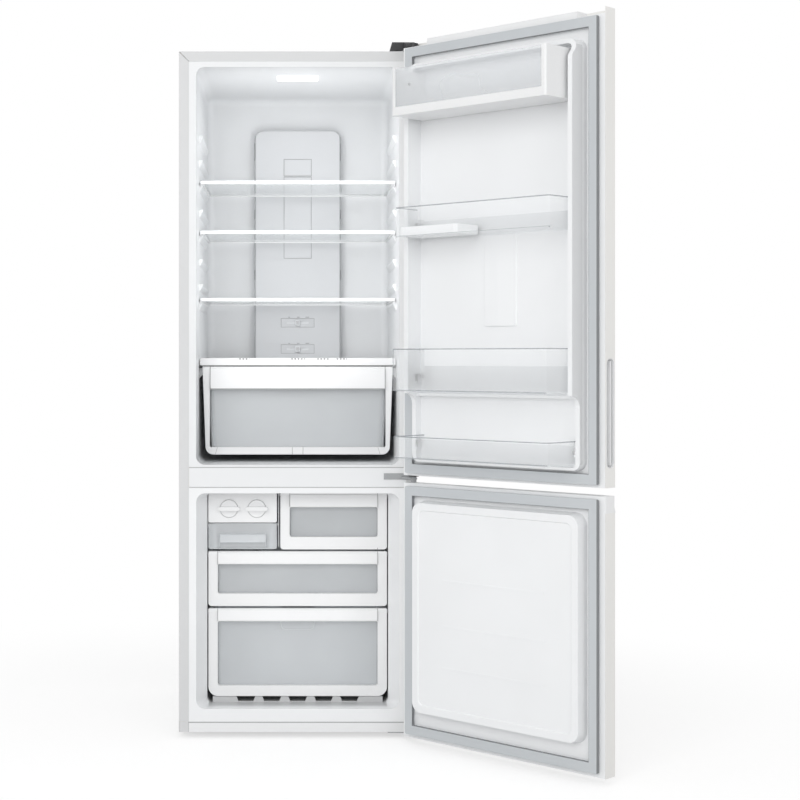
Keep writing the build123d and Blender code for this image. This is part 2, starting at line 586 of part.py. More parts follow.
with BuildPart() as bottom_hinge:
    plate_z1 = LOW - FIT
    plate_z0 = plate_z1 - HINGE_T
    plate = [
        (PIN_X - 62.0, 4.0),
        (PIN_X - 62.0, 62.0),
        (PIN_X + 3.0, 62.0),
        (PIN_X + 3.0, PIN_Y),
        (PIN_X - NOSE_R, PIN_Y),
        (PIN_X - 22.0, 0.0),
    ]
    top_prism(plate, plate_z0, plate_z1)
    post(PIN_X, PIN_Y, plate_z0, plate_z1, NOSE_R)
    post(PIN_X, PIN_Y, plate_z0 - 2.0, LOWER_LOW + PIN_DEPTH - 1.0, PIN_R)
keep(bottom_hinge, "bottom_hinge")

# ---------------------------------------------------------------- refrigerator compartment fittings
LAMP_W = 108.0
LAMP_Y0 = 132.0
LAMP_D = 61.0
LAMP_T = 4.0
with BuildPart() as lamp_lens:
    lamp_z = FRIDGE_Z1 - LAMP_T
    top_slab(-LAMP_W / 2, LAMP_W / 2, LAMP_Y0, LAMP_Y0 + LAMP_D, lamp_z, FRIDGE_Z1, 8.0)
    fillet(lamp_lens.edges().group_by(Axis.Z)[0], 2.0)
keep(lamp_lens, "lamp_lens")

SLIDE_W = 92.6
SLIDE_H = 24.0
SLIDE_ZS = (level(1037.0), level(963.5))
SLIDE_SLOT_W = 62.0
SLIDE_SLOT_H = 6.0
KNOB_W = 14.0
KNOB_H = 17.0
with BuildPart() as duct_cover:
    duct_y1 = FRIDGE_Y1 - FIT
    duct_z0 = FRIDGE_Z0 + 30.0
    half_duct = DUCT_W / 2
    front_slab(-half_duct, half_duct, duct_z0, DUCT_TOP, DUCT_Y, duct_y1, DUCT_R)
    fillet(duct_cover.faces().sort_by(Axis.Y)[0].edges(), 5.0)
    inner_half = half_duct - DUCT_WALL
    inner_z = (duct_z0 + DUCT_WALL, DUCT_TOP - DUCT_WALL)
    inner_y = (DUCT_Y + DUCT_WALL, duct_y1)
    front_slab(-inner_half, inner_half, *inner_z, *inner_y, DUCT_R - DUCT_WALL, Mode.SUBTRACT)
    for z in (level(1490.0), level(1330.0), level(1170.0), level(990.0)):  # air slots in both sides
        slot = (DUCT_Y + 12.0, DUCT_Y + 28.0, z - 34.0, z + 34.0)
        side_slab(*slot, -half_duct - 1.0, half_duct + 1.0, 4.0, Mode.SUBTRACT)
    groove = 1.2
    for low, high in ((level(1448.0), level(1496.0)), (level(1217.0), level(1446.0))):
        for inset, mode in ((0.0, Mode.SUBTRACT), (2.0, Mode.ADD)):
            x = 38.5 - inset
            front_slab(-x, x, low + inset, high - inset, DUCT_Y, DUCT_Y + groove, 5.0 - inset, mode)
    for z in SLIDE_ZS:
        x = SLIDE_W / 2
        front_slab(-x, x, z - SLIDE_H / 2, z + SLIDE_H / 2, DUCT_Y, DUCT_Y + groove, 4.0, Mode.SUBTRACT)
        x = SLIDE_SLOT_W / 2
        slot_z = (z - SLIDE_SLOT_H / 2, z + SLIDE_SLOT_H / 2)
        front_slab(-x, x, *slot_z, DUCT_Y, DUCT_Y + DUCT_WALL + 1.0, 2.0, Mode.SUBTRACT)
keep(duct_cover, "duct_cover")

for z, name in zip(SLIDE_ZS, ("upper", "lower")):
    with BuildPart() as knob:
        knob_y = DUCT_Y + groove - FIT
        front_slab(-KNOB_W / 2, KNOB_W / 2, z - KNOB_H / 2, z + KNOB_H / 2, knob_y - 7.0, knob_y, 3.0)
        fillet(knob.faces().sort_by(Axis.Y)[0].edges(), 1.5)
        stem_half = SLIDE_SLOT_H / 2 - FIT
        shutter_y = DUCT_Y + DUCT_WALL + FIT
        front_slab(-5.0, 5.0, z - stem_half, z + stem_half, knob_y, shutter_y + 0.5)
        shutter_x = SLIDE_SLOT_W - 4.5  # covers the slot wherever the knob stands
        front_slab(-shutter_x, shutter_x, z - 8.0, z + 8.0, shutter_y, shutter_y + 1.5)
        for ridge in (-3.0, 0.0, 3.0):
            front_slab(ridge - 0.5, ridge + 0.5, z - 5.0, z + 5.0, knob_y - 7.8, knob_y - 6.9)
    keep(knob, f"vent_knob_{name}")

SHELF_X = CAV_X - SHELF_SIDE_GAP
FRAME_FRONT = 12.0
FRAME_SIDE = 9.0
FRAME_BACK = 11.0
GROOVE_DEEP = 5.0
PANE_R = 14.0
LUG_T = 4.0  # stops under the rim, just in front of the ledges
for number, seat in enumerate(SHELF_SEATS, start=1):
    rim_z0 = seat + FIT
    rim_z1 = rim_z0 + SHELF_RIM_H
    glass_z0 = (rim_z0 + rim_z1 - GLASS_T) / 2
    hole = (-SHELF_X + FRAME_SIDE, SHELF_X - FRAME_SIDE, SHELF_FRONT + FRAME_FRONT, SHELF_Y1 - FRAME_BACK)
    pane = (hole[0] - GROOVE_DEEP, hole[1] + GROOVE_DEEP, hole[2] - GROOVE_DEEP, hole[3] + GROOVE_DEEP)
    with BuildPart() as shelf_frame:
        top_slab(-SHELF_X, SHELF_X, SHELF_FRONT, SHELF_Y1, rim_z0, rim_z1)
        fillet(shelf_frame.edges().filter_by(Axis.Z).group_by(Axis.Y)[-1], 22.0)
        fillet(shelf_frame.edges().filter_by(Axis.Z).group_by(Axis.Y)[0], 4.0)
        top_slab(*hole, rim_z0, rim_z1, 10.0, Mode.SUBTRACT)
        top_slab(*pane, glass_z0 - PIN_FIT, glass_z0 + GLASS_T + PIN_FIT, PANE_R, Mode.SUBTRACT)
        for x in (-SHELF_X, SHELF_X - LUG_T):
            lug_y = LEDGE_Y0 - 1.5 if seat > LOW_SHELF else LOW_LEDGE_Y0 - 1.5
            lug_z = rim_z0 - 4.0
            lug = [(lug_y, rim_z0), (lug_y, lug_z), (lug_y - 3.5, lug_z), (SHELF_FRONT + 1.0, rim_z0)]
            side_prism(lug, x, x + LUG_T)
    keep(shelf_frame, f"shelf_{number}_frame")

    with BuildPart() as shelf_glass:
        inset = 0.2
        sheet = (pane[0] + inset, pane[1] - inset, pane[2] + inset, pane[3] - inset)
        top_slab(*sheet, glass_z0, glass_z0 + GLASS_T, PANE_R)
    keep(shelf_glass, f"shelf_{number}_glass")

with BuildPart() as crisper_cover:
    cover_x = CAV_X - 2.5
    cover_y1 = DUCT_Y - 4.0
    top_slab(-cover_x, cover_x, SHELF_FRONT, cover_y1, COVER_Z, COVER_Z + COVER_T, 9.0)
    lip_z1 = COVER_Z + COVER_T + 2.0
    front_slab(-cover_x, cover_x, lip_z1 - COVER_LIP_H, lip_z1, SHELF_FRONT, SHELF_FRONT + 5.0, 5.0)
    for centre in (-72.0, 72.0):
        for n in range(6):
            x = centre + (n - 2.5) * 13.0
            slot = (x - 4.0, x + 4.0, cover_y1 - 34.0, cover_y1 - 12.0)
            top_slab(*slot, COVER_Z, COVER_Z + COVER_T, 2.0, Mode.SUBTRACT)
keep(crisper_cover, "crisper_cover")

crisper_z0 = CRISPER_TOP - CRISPER_H
with BuildPart() as crisper_front:
    low_half = CRISPER_HALF - CRISPER_TAPER
    face = [(-CRISPER_HALF, CRISPER_TOP), (CRISPER_HALF, CRISPER_TOP)]
    face += [(low_half, crisper_z0), (-low_half, crisper_z0)]
    panel_y1 = CRISPER_FRONT + CRISPER_PANEL_T
    front_prism(face, CRISPER_FRONT, panel_y1)
    fillet(crisper_front.edges().filter_by(Axis.Y).group_by(Axis.Z)[0], 20.0)
    window = (-CRISPER_BAND_HALF, CRISPER_BAND_HALF, crisper_z0 + CRISPER_SILL, CRISPER_TOP - CRISPER_BAND_H)
    front_slab(*window, CRISPER_FRONT, panel_y1, 4.0, Mode.SUBTRACT)
    band_z0 = CRISPER_TOP - CRISPER_BAND_H
    band = [
        (CRISPER_FRONT + 6.0, CRISPER_TOP - 3.0),
        (CRISPER_FRONT - 2.0, CRISPER_TOP - 6.0),
        (CRISPER_FRONT - 4.5, band_z0),
        (CRISPER_FRONT - 2.0, band_z0 - 2.0),
        (CRISPER_FRONT + 1.0, band_z0),
        (CRISPER_FRONT + 6.0, band_z0 + 4.0),
    ]
    side_prism(band, -CRISPER_BAND_HALF, CRISPER_BAND_HALF)
    for x in (-14.0, 13.0):  # the moulding marks in the middle of the sill
        mark = (x, x + 1.0, crisper_z0, crisper_z0 + CRISPER_SILL)
        front_slab(*mark, CRISPER_FRONT, CRISPER_FRONT + 1.0, mode=Mode.SUBTRACT)
keep(crisper_front, "crisper_front")

with BuildPart() as crisper_bin:
    bin_x = CAV_X - CRISPER_LEDGE_OUT - 3.0
    rim_x = CRISPER_HALF - 1.0
    bin_y = (panel_y1 + FIT, CRISPER_FRONT + CRISPER_D)
    tub(-bin_x, bin_x, *bin_y, crisper_z0 + 4.0, CRISPER_TOP, 12.0, -rim_x, rim_x, 18.0)
keep(crisper_bin, "crisper_bin")

# ---------------------------------------------------------------- freezer fittings
FAN_X = 0.0
FAN_Z = FREEZER_Z1 - 82.0
FAN_HOLE_R = 56.0
with BuildPart() as freezer_back_cover:
    cover_x = FREEZER_X - 1.0
    cover_y = (BACK_COVER_Y, BACK_COVER_Y + BACK_COVER_T)
    front_slab(-cover_x, cover_x, STEP_Z + FIT, FREEZER_Z1 - FIT, *cover_y, THROAT_R)
    barrel(FAN_X, FAN_Z, *cover_y, FAN_HOLE_R, Mode.SUBTRACT)
    for angle in (0, 60, 120):
        with BuildSketch(Plane.XZ.offset(-BACK_COVER_Y)) as spoke:
            with Locations((FAN_X, FAN_Z)):
                Rectangle(2 * FAN_HOLE_R + 4.0, 6.0, rotation=angle)
        extrude(spoke.sketch, amount=BACK_COVER_T, dir=(0, 1, 0))
    barrel(FAN_X, FAN_Z, BACK_COVER_Y, BACK_COVER_Y + BACK_COVER_T + 5.0, 17.0)
    barrel(FAN_X, FAN_Z, BACK_COVER_Y, BACK_COVER_Y + 26.0, 3.0)
    for n in range(6):
        x = (n - 2.5) * 58.0
        front_slab(x - 20.0, x + 20.0, STEP_Z + 22.0, STEP_Z + 30.0, *cover_y, 3.0, Mode.SUBTRACT)
keep(freezer_back_cover, "freezer_back_cover")

FAN_Y = BACK_COVER_Y + 15.0
with BuildPart() as evaporator_fan:
    barrel(FAN_X, FAN_Z, FAN_Y - 6.0, FAN_Y + 8.0, 15.0)
    with Locations(Plane.XZ.offset(-FAN_Y).location * Location((FAN_X, FAN_Z, 0))):
        with PolarLocations(32.0, 5):
            Box(38.0, 26.0, 1.4, rotation=(28, 0, 0))
    barrel(FAN_X, FAN_Z, FAN_Y - 10.0, FAN_Y + 12.0, 3.0 + PIN_FIT, Mode.SUBTRACT)
keep(evaporator_fan, "evaporator_fan")

EVAP_W = 2 * FREEZER_X - 80.0
EVAP_Y0 = FAN_Y + 15.0
EVAP_Z0 = STEP_Z + 14.0
EVAP_H = 168.0
with BuildPart() as evaporator:
    tube_y = (EVAP_Y0 + FREEZER_Y1) / 2
    for n in range(4):
        z = EVAP_Z0 + 18.0 + n * 44.0
        axle(tube_y, z, -EVAP_W / 2, EVAP_W / 2, 4.5)
    for x in (-EVAP_W / 2, EVAP_W / 2 - 1.5):
        side_slab(EVAP_Y0, FREEZER_Y1 - FIT, EVAP_Z0, EVAP_Z0 + EVAP_H, x, x + 1.5)
    for n in range(1, 12):
        x = -EVAP_W / 2 + n * EVAP_W / 12
        side_slab(EVAP_Y0 + 2.0, FREEZER_Y1 - 2.0, EVAP_Z0 + 4.0, EVAP_Z0 + EVAP_H - 4.0, x, x + 0.8)
keep(evaporator, "evaporator")

ICE_X0 = -FREEZER_X + DRAWER_SIDE_GAP
ICE_WALL = 2.0
ICE_Y1 = DRAWER_FRONT + ICE_D
KNOB_XS = (55.2 - FREEZER_X, 126.2 - FREEZER_X)
KNOB_Z = LOW + 555.0
KNOB_R = 22.25
TRAY_SHAFT_R = 5.0
PARTITION_X = (ICE_X1 + DRAWER_1_X0) / 2
with BuildPart() as ice_maker_frame:
    housing_y = (DRAWER_FRONT + 10.0, ICE_Y1 + 6.0)
    roof_z = UPPER_ROW_Z1 - ICE_WALL
    top_slab(-FREEZER_X + THROAT_R, PARTITION_X, *housing_y, roof_z, UPPER_ROW_Z1)
    runner_top = ICE_BIN_Z1 - RIM_T - FIT
    partition = (PARTITION_X - ICE_WALL / 2, PARTITION_X + ICE_WALL / 2)
    side_slab(*housing_y, ICE_BIN_Z0 + 4.0, FREEZER_Z1 - FIT, *partition)
    left_wall = (-FREEZER_X + FIT, -FREEZER_X + FIT + ICE_WALL)
    side_slab(*housing_y, runner_top - 8.0, FREEZER_Z1 - THROAT_R, *left_wall)
    runner_l = (DRAWER_FRONT + DRAWER_PANEL_T + 2.0, ICE_Y1)
    top_slab(left_wall[0], left_wall[0] + RUNNER_OUT, *runner_l, runner_top - 3.0, runner_top)
    top_slab(PARTITION_X - 10.0, PARTITION_X, *runner_l, runner_top - 3.0, runner_top)
    drawer_runner = UPPER_ROW_Z1 - RIM_T - FIT
    top_slab(PARTITION_X, PARTITION_X + RUNNER_OUT, *runner_l, drawer_runner - 4.0, drawer_runner)
    panel_y = (DRAWER_FRONT, DRAWER_FRONT + 12.0)
    front_slab(ICE_X0, ICE_X1, ICE_PANEL_Z0, UPPER_ROW_Z1, *panel_y, 4.0)
    joint_y = (housing_y[0], panel_y[1])
    front_slab(left_wall[0], ICE_X1, ICE_PANEL_Z0 + 6.0, FREEZER_Z1 - THROAT_R, *joint_y)
    rear_y = (ICE_Y1 + 3.0, ICE_Y1 + 6.0)
    front_slab(left_wall[0], PARTITION_X, ICE_PANEL_Z0 + 2.0, FREEZER_Z1 - THROAT_R, *rear_y)
    for x in KNOB_XS:
        barrel(x, KNOB_Z, DRAWER_FRONT, DRAWER_FRONT + 3.0, KNOB_R + 1.0, Mode.SUBTRACT)
        barrel(x, KNOB_Z, DRAWER_FRONT, ICE_Y1 + 7.0, TRAY_SHAFT_R + PIN_FIT, Mode.SUBTRACT)
keep(ice_maker_frame, "ice_maker_frame")

TRAY_W = 54.0
TRAY_H = 26.0
CUP_COUNT = 5
for knob_x, name in zip(KNOB_XS, ("left", "right")):
    with BuildPart() as ice_twister:
        barrel(knob_x, KNOB_Z, DRAWER_FRONT - 4.0, DRAWER_FRONT + 3.0 - FIT, KNOB_R)
        fillet(ice_twister.edges().group_by(Axis.Y)[0], 1.5)
        grip = (knob_x - 27.5, knob_x + 27.5, KNOB_Z - 5.0, KNOB_Z + 5.0)
        front_slab(*grip, DRAWER_FRONT - 15.0, DRAWER_FRONT - 3.9, 4.5)
        barrel(knob_x, KNOB_Z, DRAWER_FRONT, DRAWER_FRONT + 22.0, TRAY_SHAFT_R)
        barrel(knob_x, KNOB_Z, ICE_Y1 - 12.0, ICE_Y1 + 6.0, TRAY_SHAFT_R)
        tray_y = (DRAWER_FRONT + 18.0, ICE_Y1 - 4.0)
        tray_z = (KNOB_Z - TRAY_H * 0.6, KNOB_Z + TRAY_H * 0.4)
        top_slab(knob_x - TRAY_W / 2, knob_x + TRAY_W / 2, *tray_y, *tray_z, 3.0)
        pitch = (tray_y[1] - tray_y[0] - 4.0) / CUP_COUNT
        for row in (-1, 1):
            for n in range(CUP_COUNT):
                cup_x = knob_x + row * TRAY_W / 4
                cup_y = tray_y[0] + 2.0 + (n + 0.5) * pitch
                low = (cup_x - 8.0, cup_x + 8.0, cup_y - pitch / 2 + 5, cup_y + pitch / 2 - 5)
                high = (cup_x - 11.5, cup_x + 11.5, cup_y - pitch / 2 + 2, cup_y + pitch / 2 - 2)
                tapered(low, high, tray_z[0] + 3.0, tray_z[1], 0.0, Mode.SUBTRACT)
    keep(ice_twister, f"ice_twister_{name}")

PULL_X = (ICE_X1 - 145.0, ICE_X1 - 27.0)
with BuildPart() as ice_bin:
    panel = (ICE_X0, ICE_X1, ICE_BIN_Z0, ICE_BIN_Z1)
    bin_x0 = left_wall[0] + 11.0 + 1.5
    bin_x1 = PARTITION_X - 10.0 - 1.5
    bin_y = (DRAWER_FRONT + 3.0, ICE_Y1)
    rim = (left_wall[1] + 1.0, PARTITION_X - 2.0)
    tub(bin_x0, bin_x1, *bin_y, ICE_BIN_Z0 + 3.0, ICE_BIN_Z1, 4.0, *rim, 8.0)
    front_slab(*panel, DRAWER_FRONT, DRAWER_FRONT + 3.0, 5.0)
    pull = [
        (DRAWER_FRONT + 1.0, ICE_BIN_Z0 + 40.0),
        (DRAWER_FRONT - 6.0, ICE_BIN_Z0 + 38.5),
        (DRAWER_FRONT - 8.0, ICE_BIN_Z0 + 36.0),
        (DRAWER_FRONT - 11.0, ICE_BIN_Z0 + 18.0),
        (DRAWER_FRONT - 9.0, ICE_BIN_Z0 + 18.0),
        (DRAWER_FRONT - 6.0, ICE_BIN_Z0 + 35.0),
        (DRAWER_FRONT + 1.0, ICE_BIN_Z0 + 37.5),
    ]
    side_prism(pull, *PULL_X)
    for x in (PULL_X[0], PULL_X[1] - 2.0):
        cheek = [(1.0, 3.0), (-2.0, 3.0), (-10.5, 18.0), (-7.5, 36.0), (-5.5, 38.0), (1.0, 39.5)]
        side_prism([(DRAWER_FRONT + y, ICE_BIN_Z0 + z) for y, z in cheek], x, x + 2.0)
keep(ice_bin, "ice_bin")


def drawer(name, x0, x1, z0, z1, depth, window_low, window_high, corner, band_in):
    """A freezer drawer: white front with a pull band over a clear window, and the tub behind it."""
    y1 = DRAWER_FRONT + DRAWER_PANEL_T
    with BuildPart() as front:
        front_slab(x0, x1, z0, z1, DRAWER_FRONT, y1, corner)
        front_slab(x0, x1, z1 - 30.0, z1, DRAWER_FRONT, y1, 3.0)
        window = (x0 + band_in, x1 - band_in, window_low, window_high)
        front_slab(*window, DRAWER_FRONT, y1, 6.0, Mode.SUBTRACT)
        band = [
            (DRAWER_FRONT + 6.0, z1 - 2.0),
            (DRAWER_FRONT - 2.0, z1 - 4.0),
            (DRAWER_FRONT - 6.0, window_high + 3.0),
            (DRAWER_FRONT - 5.0, window_high),
            (DRAWER_FRONT - 2.0, window_high + 1.0),
            (DRAWER_FRONT + 6.0, window_high + 8.0),
        ]
        side_prism(band, x0 + band_in, x1 - band_in)
    keep(front, f"{name}_front")
    left = RUNNER_OUT + FIT + 1.0 - DRAWER_SIDE_GAP
    with BuildPart() as body:
        tub_y = (y1 + FIT, DRAWER_FRONT + depth)
        rim = (x0 + 1.5, x1 - 1.5)
        tub(x0 + left, x1 - left, *tub_y, z0 + 4.0, z1, 7.0, *rim)
        if corner > 20.0:  # hand notch in the back wall of the deep drawer
            back = (DRAWER_FRONT + depth - 14.0, DRAWER_FRONT + depth + 1.0)
            top_slab(-44.0, 44.0, *back, z1 - 46.0, z1 + 1.0, 4.0, Mode.SUBTRACT)
    keep(body, f"{name}_bin")


WINDOW_IN = 23.5  # from the side of a drawer front to its window
drawer_x = FREEZER_X - DRAWER_SIDE_GAP
upper_row = (UPPER_ROW_Z0, UPPER_ROW_Z1)
drawer("drawer_1", DRAWER_1_X0, drawer_x, *upper_row, DRAWER_D, LOW + 482.6, LOW + 559.0, 8.0, WINDOW_IN)
middle_row = (MIDDLE_Z0, MIDDLE_Z1)
drawer("drawer_2", -drawer_x, drawer_x, *middle_row, DRAWER_D, LOW + 338.6, LOW + 414.0, 8.0, WINDOW_IN)
lower_row = (LOWER_Z0, LOWER_Z1)
drawer("drawer_3", -drawer_x, drawer_x, *lower_row, LOWER_D, LOW + 104.7, LOW + 269.0, 24.0, WINDOW_IN)


# ---------------------------------------------------------------- doors
def door_plan(z0, z1, inset, back_y, mode=Mode.ADD):
    """The door's outline seen from above, drawn in by inset, from z0 to z1."""
    with BuildSketch(Plane.XY.offset(z0)) as plan:
        outline(-HALF + inset, HALF - inset, DOOR_Y0 + inset, back_y, 0.0)
        fillet(plan.vertices().group_by(Axis.Y)[0], DOOR_R - inset)
    extrude(plan.sketch, amount=z1 - z0, mode=mode)


def door_skin(z0, z1):
    """The folded steel skin: front and both sides, open at top and bottom."""
    door_plan(z0, z1, 0.0, DOOR_Y1)
    door_plan(z0, z1, SHEET, DOOR_Y1, Mode.SUBTRACT)


def gasket_ring(z0, z1):
    """The magnetic gasket: a narrow foot on the door frame and a wide face that meets the cabinet."""
    out_x = HALF - GASKET_IN
    face_y = -GASKET_GAP
    step_y = DOOR_Y1 + GASKET_FOOT_T
    shrink = (GASKET_W - GASKET_FOOT_W) / 2
    front_slab(-out_x, out_x, z0, z1, step_y, face_y, 4.0)
    front_slab(-out_x + shrink, out_x - shrink, z0 + shrink, z1 - shrink, DOOR_Y1, step_y, 2.0)
    hole_x = out_x - GASKET_W
    front_slab(-hole_x, hole_x, z0 + GASKET_W, z1 - GASKET_W, DOOR_Y1, face_y, 2.0, Mode.SUBTRACT)
    foot_x = hole_x + shrink
    foot_z = (z0 + GASKET_W - shrink, z1 - GASKET_W + shrink)
    front_slab(-foot_x, foot_x, *foot_z, DOOR_Y1, step_y, 2.0, Mode.SUBTRACT)


PIN_BORE = PIN_R + PIN_FIT
CAP_Y1 = LINER_Y

# refrigerator door
RECESS_Z0 = LOW + 692.0
RECESS_Z1 = LOW + 937.0
RECESS_Y0 = DOOR_Y1 - 35.0
RECESS_Y1 = DOOR_Y1 - 3.5
RECESS_D = 16.0
RECESS_WALL = 1.6
RECESS_R = 13.0
with BuildPart() as fridge_door_skin:
    door_skin(UPPER_LOW, UPPER_TOP)
    top_slab(HALF - 8.0, HALF, DOOR_Y0, DOOR_Y1, POCKET_Z, UPPER_TOP, mode=Mode.SUBTRACT)
    side_slab(RECESS_Y0, RECESS_Y1, RECESS_Z0, RECESS_Z1, -HALF, -INNER_X, RECESS_R, Mode.SUBTRACT)
keep(fridge_door_skin, "fridge_door_skin", on_door=True)

upper_cap_z0 = POCKET_Z - CAP_T - 4.0
with BuildPart() as fridge_door_caps:
    door_plan(upper_cap_z0, POCKET_Z, SHEET, CAP_Y1)
    block_x = HALF - POCKET_W
    top_slab(-block_x, block_x, DOOR_Y0 + SHEET, DOOR_Y1, POCKET_Z, UPPER_TOP - 0.5)
    door_plan(UPPER_LOW, UPPER_LOW + CAP_T, SHEET, CAP_Y1)
    post(PIN_X, PIN_Y, POCKET_Z - PIN_DEPTH, POCKET_Z, PIN_BORE, Mode.SUBTRACT)
    bore_z = (UPPER_LOW, UPPER_LOW + PIN_DEPTH - 0.5)
    post(PIN_X, PIN_Y, *bore_z, PIN_BORE, Mode.SUBTRACT)
keep(fridge_door_caps, "fridge_door_caps", on_door=True)

DIKE_OUT = HALF - 50.0  # outer faces of the raised ring on the liner
DIKE_IN = HALF - 62.5
DIKE_R = 22.0
DIKE_LOW = LOW + 684.5
DIKE_LOW_BAR = 6.5
DIKE_STEP = LOW + 853.0
DIKE_HIGH = TOP - 99.0
DIKE_TOP = TOP - 54.0
DIKE_TOP_BAR = 11.0
DIKE_LOW_V = 26.0  # heights of the ring above the door frame
DIKE_V = 55.0
DIKE_TOP_V = 40.0
DIKE_BEND = 26.0  # length over which its height changes
FIELD_V = 8.0
RAIL_V = 20.0  # ledge across the liner at the step of the ring
RAIL_T = 6.5


def fridge_door_form(grow):
    """The raised ring and field of the refrigerator door's liner, drawn in by grow for its foam core."""
    y = DOOR_Y1 - grow
    side = [(LINER_Y, DIKE_LOW + grow), (y + DIKE_LOW_V - 2.0, DIKE_LOW + grow)]
    side.append((y + DIKE_LOW_V, DIKE_LOW + grow + 2.0))
    for part in (0.0, 0.25, 0.5, 0.7, 0.85, 0.95, 1.0):  # round corner of the lower section
        rise = 1.0 - sqrt(1.0 - part * part)
        bend_z = DIKE_STEP + grow - DIKE_BEND * (1.0 - part)
        side.append((y + DIKE_LOW_V + (DIKE_V - DIKE_LOW_V) * rise, bend_z))
    for n in range(7):  # bend back to the lower top
        fall = (1.0 - cos(pi * n / 6)) / 2
        side.append((y + DIKE_V - (DIKE_V - DIKE_TOP_V) * fall, DIKE_HIGH - grow + DIKE_BEND * n / 6))
    side += [(y + DIKE_TOP_V, DIKE_TOP - grow - 2.0), (y + DIKE_TOP_V - 2.0, DIKE_TOP - grow)]
    side.append((LINER_Y, DIKE_TOP - grow))
    with BuildPart() as form:
        out_x = DIKE_OUT - grow
        in_x = DIKE_IN + grow
        outside = (-out_x, out_x, DIKE_LOW + grow, DIKE_TOP - grow)
        inside = (-in_x, in_x, DIKE_LOW + DIKE_LOW_BAR - grow, DIKE_TOP - DIKE_TOP_BAR + grow)
        side_prism(side, -out_x, out_x)
        front_slab(*outside, LINER_Y, DOOR_Y1 + DIKE_V + 1.0, DIKE_R - grow, Mode.INTERSECT)
        front_slab(*inside, LINER_Y, DOOR_Y1 + DIKE_V + 1.0, DIKE_R - 12.0 + grow, Mode.SUBTRACT)
        front_slab(*outside, LINER_Y, y + FIELD_V, DIKE_R - grow)
    return form.part


LUG_Y = (DOOR_Y1 + 10.0, DOOR_Y1 + 26.0)
LUG_H = 12.0
LUG_OUT = 3.4
EAR_Z = 30.0  # underside of a bin's ears above the bin's underside
EAR_H = 10.0
HOOK_H = 7.0  # how far the ears reach down in front of the lugs
BIN_1_Z0 = TOP - 190.0
BIN_1_Z1 = TOP - 76.0
BIN_2_Z0 = level(1227.0)
BIN_2_Z1 = BIN_2_Z0 + 72.0
BIN_3_Z0 = LOW + 859.0
BIN_3_Z1 = LOW + 960.0
BIN_4_Z0 = LOW + 698.0
BIN_4_Z1 = LOW + 751.0
with BuildPart() as fridge_door_liner:
    frame_x = INNER_X - 0.2
    front_slab(-frame_x, frame_x, UPPER_LOW + 0.5, POCKET_Z, LINER_Y, DOOR_Y1)
    add(fridge_door_form(0.0))
    rail_z = DIKE_STEP - 7.0
    front_slab(-DIKE_IN, DIKE_IN, rail_z, rail_z + RAIL_T, DOOR_Y1, DOOR_Y1 + RAIL_V)
    strip_y = DOOR_Y1 + FIELD_V
    strip = [(37.0, strip_y - 0.5), (33.0, strip_y + 4.0), (-6.0, strip_y + 5.0)]
    strip += [(-56.0, strip_y + 2.5), (-60.0, strip_y - 0.5)]
    top_prism(strip, level(1013.0), BIN_2_Z0 - 1.0)
    for bin_z in (BIN_1_Z0, BIN_2_Z0, BIN_3_Z0, BIN_4_Z0):
        lug_top = bin_z + EAR_Z - FIT
        for x in (-DIKE_IN, DIKE_IN - LUG_OUT):
            side_slab(*LUG_Y, lug_top - LUG_H, lug_top, x, x + LUG_OUT)
    add(fridge_door_form(LINER_T), mode=Mode.SUBTRACT)
keep(fridge_door_liner, "fridge_door_liner", on_door=True)

with BuildPart() as fridge_door_foam:
    door_plan(UPPER_LOW + CAP_T, upper_cap_z0, SHEET, LINER_Y)
    add(fridge_door_form(LINER_T))
    recess = (RECESS_Y0, RECESS_Y1, RECESS_Z0, RECESS_Z1)
    side_slab(*recess, -INNER_X, -HALF + RECESS_D, RECESS_R, Mode.SUBTRACT)
keep(fridge_door_foam, "fridge_door_foam", on_door=True)

with BuildPart() as fridge_door_gasket:
    gasket_ring(LOW + 655.0, TOP - 6.0)
keep(fridge_door_gasket, "fridge_door_gasket", on_door=True)

with BuildPart() as fridge_door_handle:
    inset = FIT / 2
    cup = (RECESS_Y0 + inset, RECESS_Y1 - inset, RECESS_Z0 + inset, RECESS_Z1 - inset)
    side_slab(*cup, -HALF, -HALF + RECESS_D - inset, RECESS_R - inset)
    deep_y = (RECESS_Y0 + RECESS_WALL, RECESS_Y1 - RECESS_WALL)
    deep = (*deep_y, RECESS_Z0 + RECESS_WALL, RECESS_Z1 - RECESS_WALL)
    side_slab(*deep, -HALF, -HALF + RECESS_D - RECESS_WALL, RECESS_R - RECESS_WALL, Mode.SUBTRACT)
    ridge_y = (RECESS_Y0 + 10.0, RECESS_Y0 + 13.0)
    side_slab(*ridge_y, RECESS_Z0 + 6.0, RECESS_Z1 - 6.0, -HALF + 2.0, -HALF + RECESS_D - 1.0)
keep(fridge_door_handle, "fridge_door_handle", on_door=True)

BIN_X = DIKE_IN - 8.5
BIN_BACK = DOOR_Y1 + 10.0
BIN_WALL = 2.2
BIN_R = 5.0


def bin_ears(z0):
    """The hooked ears that hang a bin on the liner's lugs."""
    for side in (-1, 1):
        x0, x1 = sorted((side * (BIN_X - 1.0), side * (DIKE_IN - FIT)))
        side_slab(*LUG_Y, z0 + EAR_Z, z0 + EAR_Z + EAR_H, x0, x1)
        hook = (LUG_Y[1] + FIT, LUG_Y[1] + 3.0, z0 + EAR_Z - HOOK_H, z0 + EAR_Z + EAR_H)
        side_slab(*hook, x0, x1)
        side_slab(LUG_Y[1] - 1.0, LUG_Y[1] + 3.0, z0 + EAR_Z + 1.0, z0 + EAR_Z + EAR_H, x0, x1)


